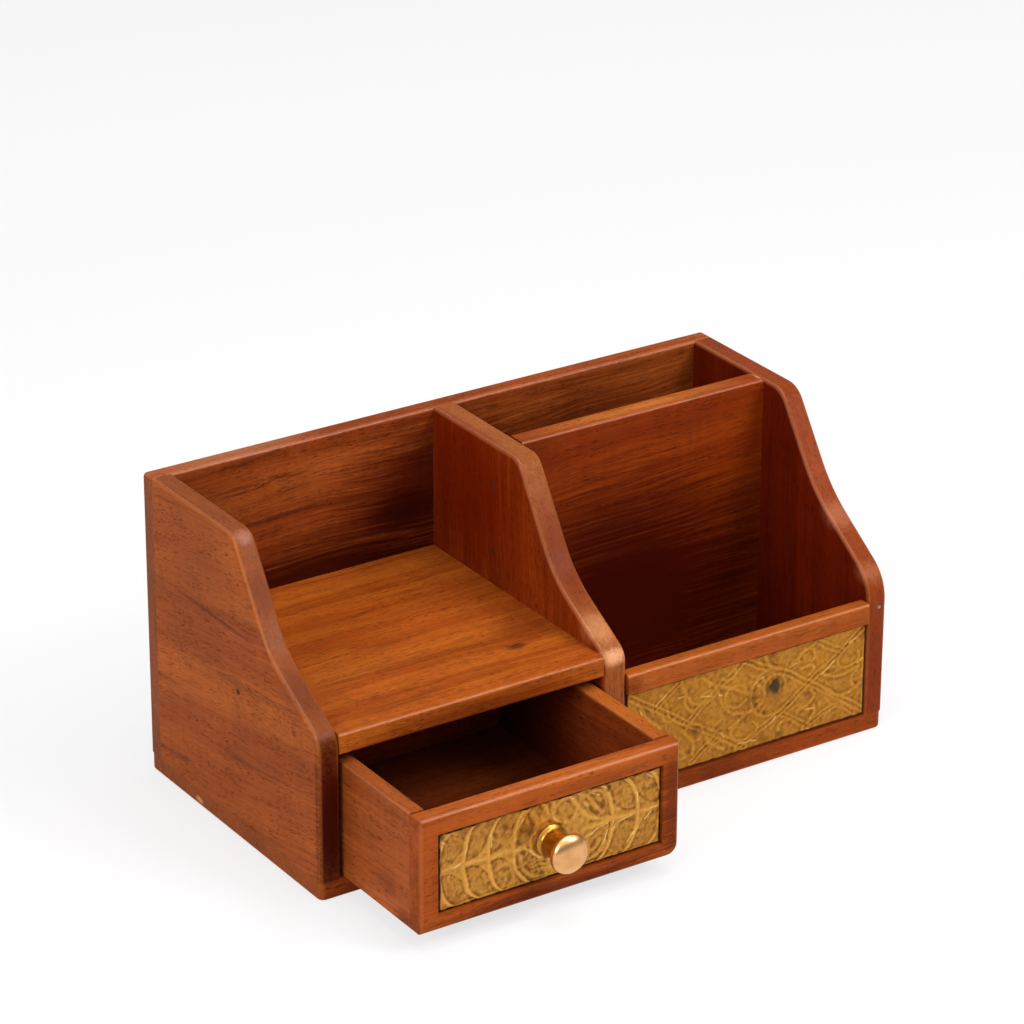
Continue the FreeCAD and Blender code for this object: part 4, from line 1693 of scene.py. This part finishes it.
    def woods(self) -> Dict[str, WaxedWood]:
        """The finish of each board, before its patches.

        Returns:
            Finishes by node name.
        """
        edge = (206, 134, 82)
        inner = ((60, 16, 3), (126, 50, 14), (146, 64, 24), edge)
        return {
            "drawer_front": WaxedWood(
                (80, 26, 5), (130, 54, 12), (162, 78, 23), edge, tilt=1.0, seed=1.9
            ),
            "drawer_left_wall": WaxedWood(
                (84, 30, 10), (144, 69, 26), (164, 84, 36), edge,
                Grain.ALONG_Y, tilt=2.0, seed=2.6,
            ),
            "drawer_right_wall": WaxedWood(*inner, Grain.ALONG_Y, tilt=1.0, seed=3.4),
            "drawer_back": WaxedWood(*inner, seed=4.2),
            "drawer_bottom": WaxedWood(
                (60, 18, 4), (104, 40, 12), (124, 54, 20), edge, seed=5.8
            ),
        }

    def pattern(self) -> Emboss:
        """The leafy vine of the drawer front.

        A stem runs along the middle. Bowed ribs leave it upwards and
        downwards with a broad petal between each two, leaning right on the
        left half and left on the right one. Curls and rings fill the middle
        round the knob.

        Returns:
            The relief.
        """
        x, z = self.sheet.grid()
        emboss = Emboss(x - self.knob_x, z - self.sheet.middle()[1], self.seed)
        for line in self.stems:
            emboss.stroke(line, height=0.30, width=0.9)
        for way in (1.0, -1.0):
            for turn, feet in self.ribs.items():
                for foot in feet:
                    emboss.petal(foot, turn, way, self.rib_gap)
        self.curves(emboss, height=0.30, width=0.65)
        for row in (-9.4, -8.2, -7.0, -5.8):
            vein = ((-6.6, row), (-3.8, row + 0.5), (-1.2, row - 0.2))
            emboss.stroke(vein, height=0.12, width=0.26)
        emboss.crumple(0.17)
        self.glints_and_blots(emboss, width=0.26)
        return emboss

    def dress(self) -> None:
        """Dresses the box, its pins and its sheet and puts the knob on."""
        super().dress()
        dress("drawer_front_pins", bpy.data.materials["wood_drawer_front"])
        knob = TurnedKnob("round_knob", self.knob_x, self.knob_z, self.sheet.front)
        # The shaded tone paints the shade behind the knob's head.
        polished = TurnedMetal(
            tint(228, 172, 114), tint(206, 144, 88),
            rough=0.22, shaded=tint(180, 128, 52),
        )
        place_new(
            knob.build(), "drawer", "drawer_knob",
            polished.material("brass_knob"),
        )


@dataclass
class Ironwork:
    """The panel pins, the knob's screw and its washer, and one nail head."""

    pins: Tuple[str, ...] = (
        "base_pins", "back_pins", "partition_pins", "panel_pins",
        "drawer_back_pins", "drawer_bottom_pins",
    )
    bright: Tuple[str, ...] = ("knob_screw", "knob_washer")
    nail_centre: Point3 = (103.1, -52.0, 43.9)
    nail_radius: float = 0.6
    nail_height: float = 0.14
    nail_length: float = 3.0

    def nail(self) -> bpy.types.Object:
        """Makes a nail driven in from the front, with a low domed head.

        With t from 0 at the middle to 1 at the rim, the head stands
        height * (1 - t^2) proud, and the shank goes straight back.

        Returns:
            The object.
        """
        t = np.linspace(0.0, 1.0, 7)
        head = np.stack((self.nail_height * (1 - t**2), t * self.nail_radius), -1)
        shank = ((-self.nail_length, self.nail_radius), (-self.nail_length, 0.0))
        profile = np.concatenate((head, shank))
        return turned_piece("edge_nail", self.nail_centre, profile, turns=24)

    def dress(self) -> None:
        """Fills the pins' holes like the wood and gives the screw bright steel."""
        shelf = WaxedWood(
            (64, 20, 5), (118, 52, 17), (140, 68, 24), (140, 68, 24),
            Grain.ALONG_Y, tilt=8.0, seed=1.7,
            patches=(Patch((-106.0, -4.9, 51.0), (2.0, 1.6, 1.4), (50, 18, 8), 0.9),),
        )
        dress("shelf_pins", shelf.material("filled_shelf_pins"))
        filler = WaxedWood(
            (44, 16, 6), (84, 38, 18), (96, 46, 24), (96, 46, 24),
            Grain.ALONG_Y, tilt=8.0, seed=6.6,
        ).material("filled_pins")
        clean = TurnedMetal(tint(146, 142, 136), tint(104, 100, 96), rough=0.34)
        clean = clean.material("steel_screw")
        for node in self.pins:
            dress(node, filler)
        for node in self.bright:
            dress(node, clean)
        nail = self.nail()
        nail.data.materials.append(clean)
        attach(nail, "carcass")
        LOG.info("%s: %d faces", nail.name, len(nail.data.polygons))


@dataclass(frozen=True)
class Lamp:
    """A soft square lamp, aimed at the middle of the stand.

    Azimuth 0 is in front and 90 to the right, in degrees. The power is in
    watts.
    """

    name: str
    azimuth: float
    elevation: float
    distance: float
    size: float
    power: float
    target: Point3 = (0.0, 0.0, 0.05)

    def build(self) -> None:
        """Makes the lamp."""
        a, e = math.radians(self.azimuth), math.radians(self.elevation)
        way = Vector(
            (math.sin(a) * math.cos(e), -math.cos(a) * math.cos(e), math.sin(e))
        )
        light = bpy.data.lights.new(self.name, "AREA")
        light.shape, light.size, light.energy = "SQUARE", self.size, self.power
        lamp = bpy.data.objects.new(self.name, light)
        lamp.location = way * self.distance + Vector(self.target)
        lamp.rotation_euler = way.to_track_quat("Z", "Y").to_euler()
        bpy.context.scene.collection.objects.link(lamp)


@dataclass
class Studio:
    """Floor, lamps, sky and camera.

    The camera stands at place and looks ahead, with right and up across its
    view. Paper is the share of plain white where the floor is seen. Mirrors
    see a light that climbs from wall to above, between wall_top and ceiling.
    """

    place: Point3 = (-702.449, -1060.034, 664.632)
    right: Point3 = (0.83566865, -0.54922323, 0.00342923)
    up: Point3 = (0.22587459, 0.34935651, 0.9093573)
    ahead: Point3 = (0.50063818, 0.75914681, -0.41600185)
    lens: float = 156.875
    sensor: float = 36.0
    nearest: float = 0.05
    farthest: float = 50.0
    floor_half: float = 4.0
    sky: float = 0.40
    paper: float = 0.72
    wall: float = 0.25
    wall_top: float = 0.30
    ceiling: float = 0.70
    above: float = 1.35
    lamps: Tuple[Lamp, ...] = (
        Lamp(
            "lamp_front_right",
            azimuth=38.0, elevation=42.0, distance=1.6, size=0.7, power=15.0,
        ),
        Lamp(
            "lamp_left",
            azimuth=-72.0, elevation=24.0, distance=1.5, size=0.7, power=10.0,
        ),
        Lamp(
            "lamp_top",
            azimuth=5.0, elevation=84.0, distance=1.4, size=0.8, power=9.0,
        ),
    )

    def build(self) -> None:
        """Makes the whole studio."""
        for lamp in self.lamps:
            lamp.build()
        self._camera()
        self._floor()
        self._sky()
        bpy.context.scene.view_settings.view_transform = "Standard"
        LOG.info("studio: %d lamps", len(self.lamps))

    def _camera(self) -> None:
        """Makes the camera and puts it in use."""
        data = bpy.data.cameras.new("camera")
        data.sensor_fit, data.sensor_width, data.lens = "AUTO", self.sensor, self.lens
        data.clip_start, data.clip_end = self.nearest, self.farthest
        camera = bpy.data.objects.new("camera", data)
        rows = zip(self.right, self.up, self.ahead, self.place)
        camera.matrix_world = Matrix(
            [(right, up, -ahead, place * MM) for right, up, ahead, place in rows]
            + [(0.0, 0.0, 0.0, 1.0)]
        )
        bpy.context.scene.collection.objects.link(camera)
        bpy.context.scene.camera = camera

    def _floor(self) -> None:
        """Makes the pale floor, which keeps part of the object's shadow."""
        signs = ((-1.0, -1.0, 0.0), (1.0, -1.0, 0.0), (1.0, 1.0, 0.0), (-1.0, 1.0, 0.0))
        corners = np.array(signs) * self.floor_half
        floor = fill_mesh("floor", corners, [(0, 1, 2, 3)], crease=30.0)
        shader = Shader(bpy.data.materials.new("paper_floor"))
        matt = shader.add("ShaderNodeBsdfDiffuse", None, {"Color": (0.86, 0.86, 0.86)})
        glow = shader.add("ShaderNodeEmission", None, {"Color": (1.0, 0.995, 0.998)})
        shades = {0: shader.seen() * self.paper, 1: matt, 2: glow}
        both = shader.add("ShaderNodeMixShader", None, shades)
        shader.add("ShaderNodeOutputMaterial", None, {"Surface": both})
        floor.data.materials.append(shader.owner)

    def _sky(self) -> None:
        """Makes the even light all round, white where it is seen.

        Mirrors see darker walls up to about a third of the way up, as in a
        studio whose ceiling is lit.
        """
        sky = Shader(bpy.data.worlds.new("sky"))
        bpy.context.scene.world = sky.owner
        rise = sky.parts(sky.add("ShaderNodeTexCoord", out="Generated"))[2]
        climb = sky.add(
            "ShaderNodeMapRange",
            {"interpolation_type": "SMOOTHSTEP"},
            {0: rise, 1: self.wall_top, 2: self.ceiling, 3: self.wall, 4: self.above},
        )
        glossy = sky.add("ShaderNodeLightPath", out="Is Glossy Ray")
        mirrored = {0: glossy, 2: 1.0, 3: climb}
        strength = sky.add("ShaderNodeMix", {"data_type": "FLOAT"}, mirrored)
        soft, white = (
            sky.add(
                "ShaderNodeBackground",
                None,
                {"Color": (1.0, 1.0, 1.0), "Strength": value},
            )
            for value in (self.sky, strength)
        )
        both = sky.add("ShaderNodeMixShader", None, {0: sky.seen(), 1: soft, 2: white})
        sky.add("ShaderNodeOutputWorld", None, {"Surface": both})


def main() -> None:
    """Builds every sub-assembly in order."""
    logging.basicConfig(level=logging.INFO, format="%(name)s %(message)s")
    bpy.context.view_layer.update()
    for part in (Carcass(), Drawer(), Ironwork()):
        part.dress()
    Studio().build()


if __name__ == "__main__":
    main()
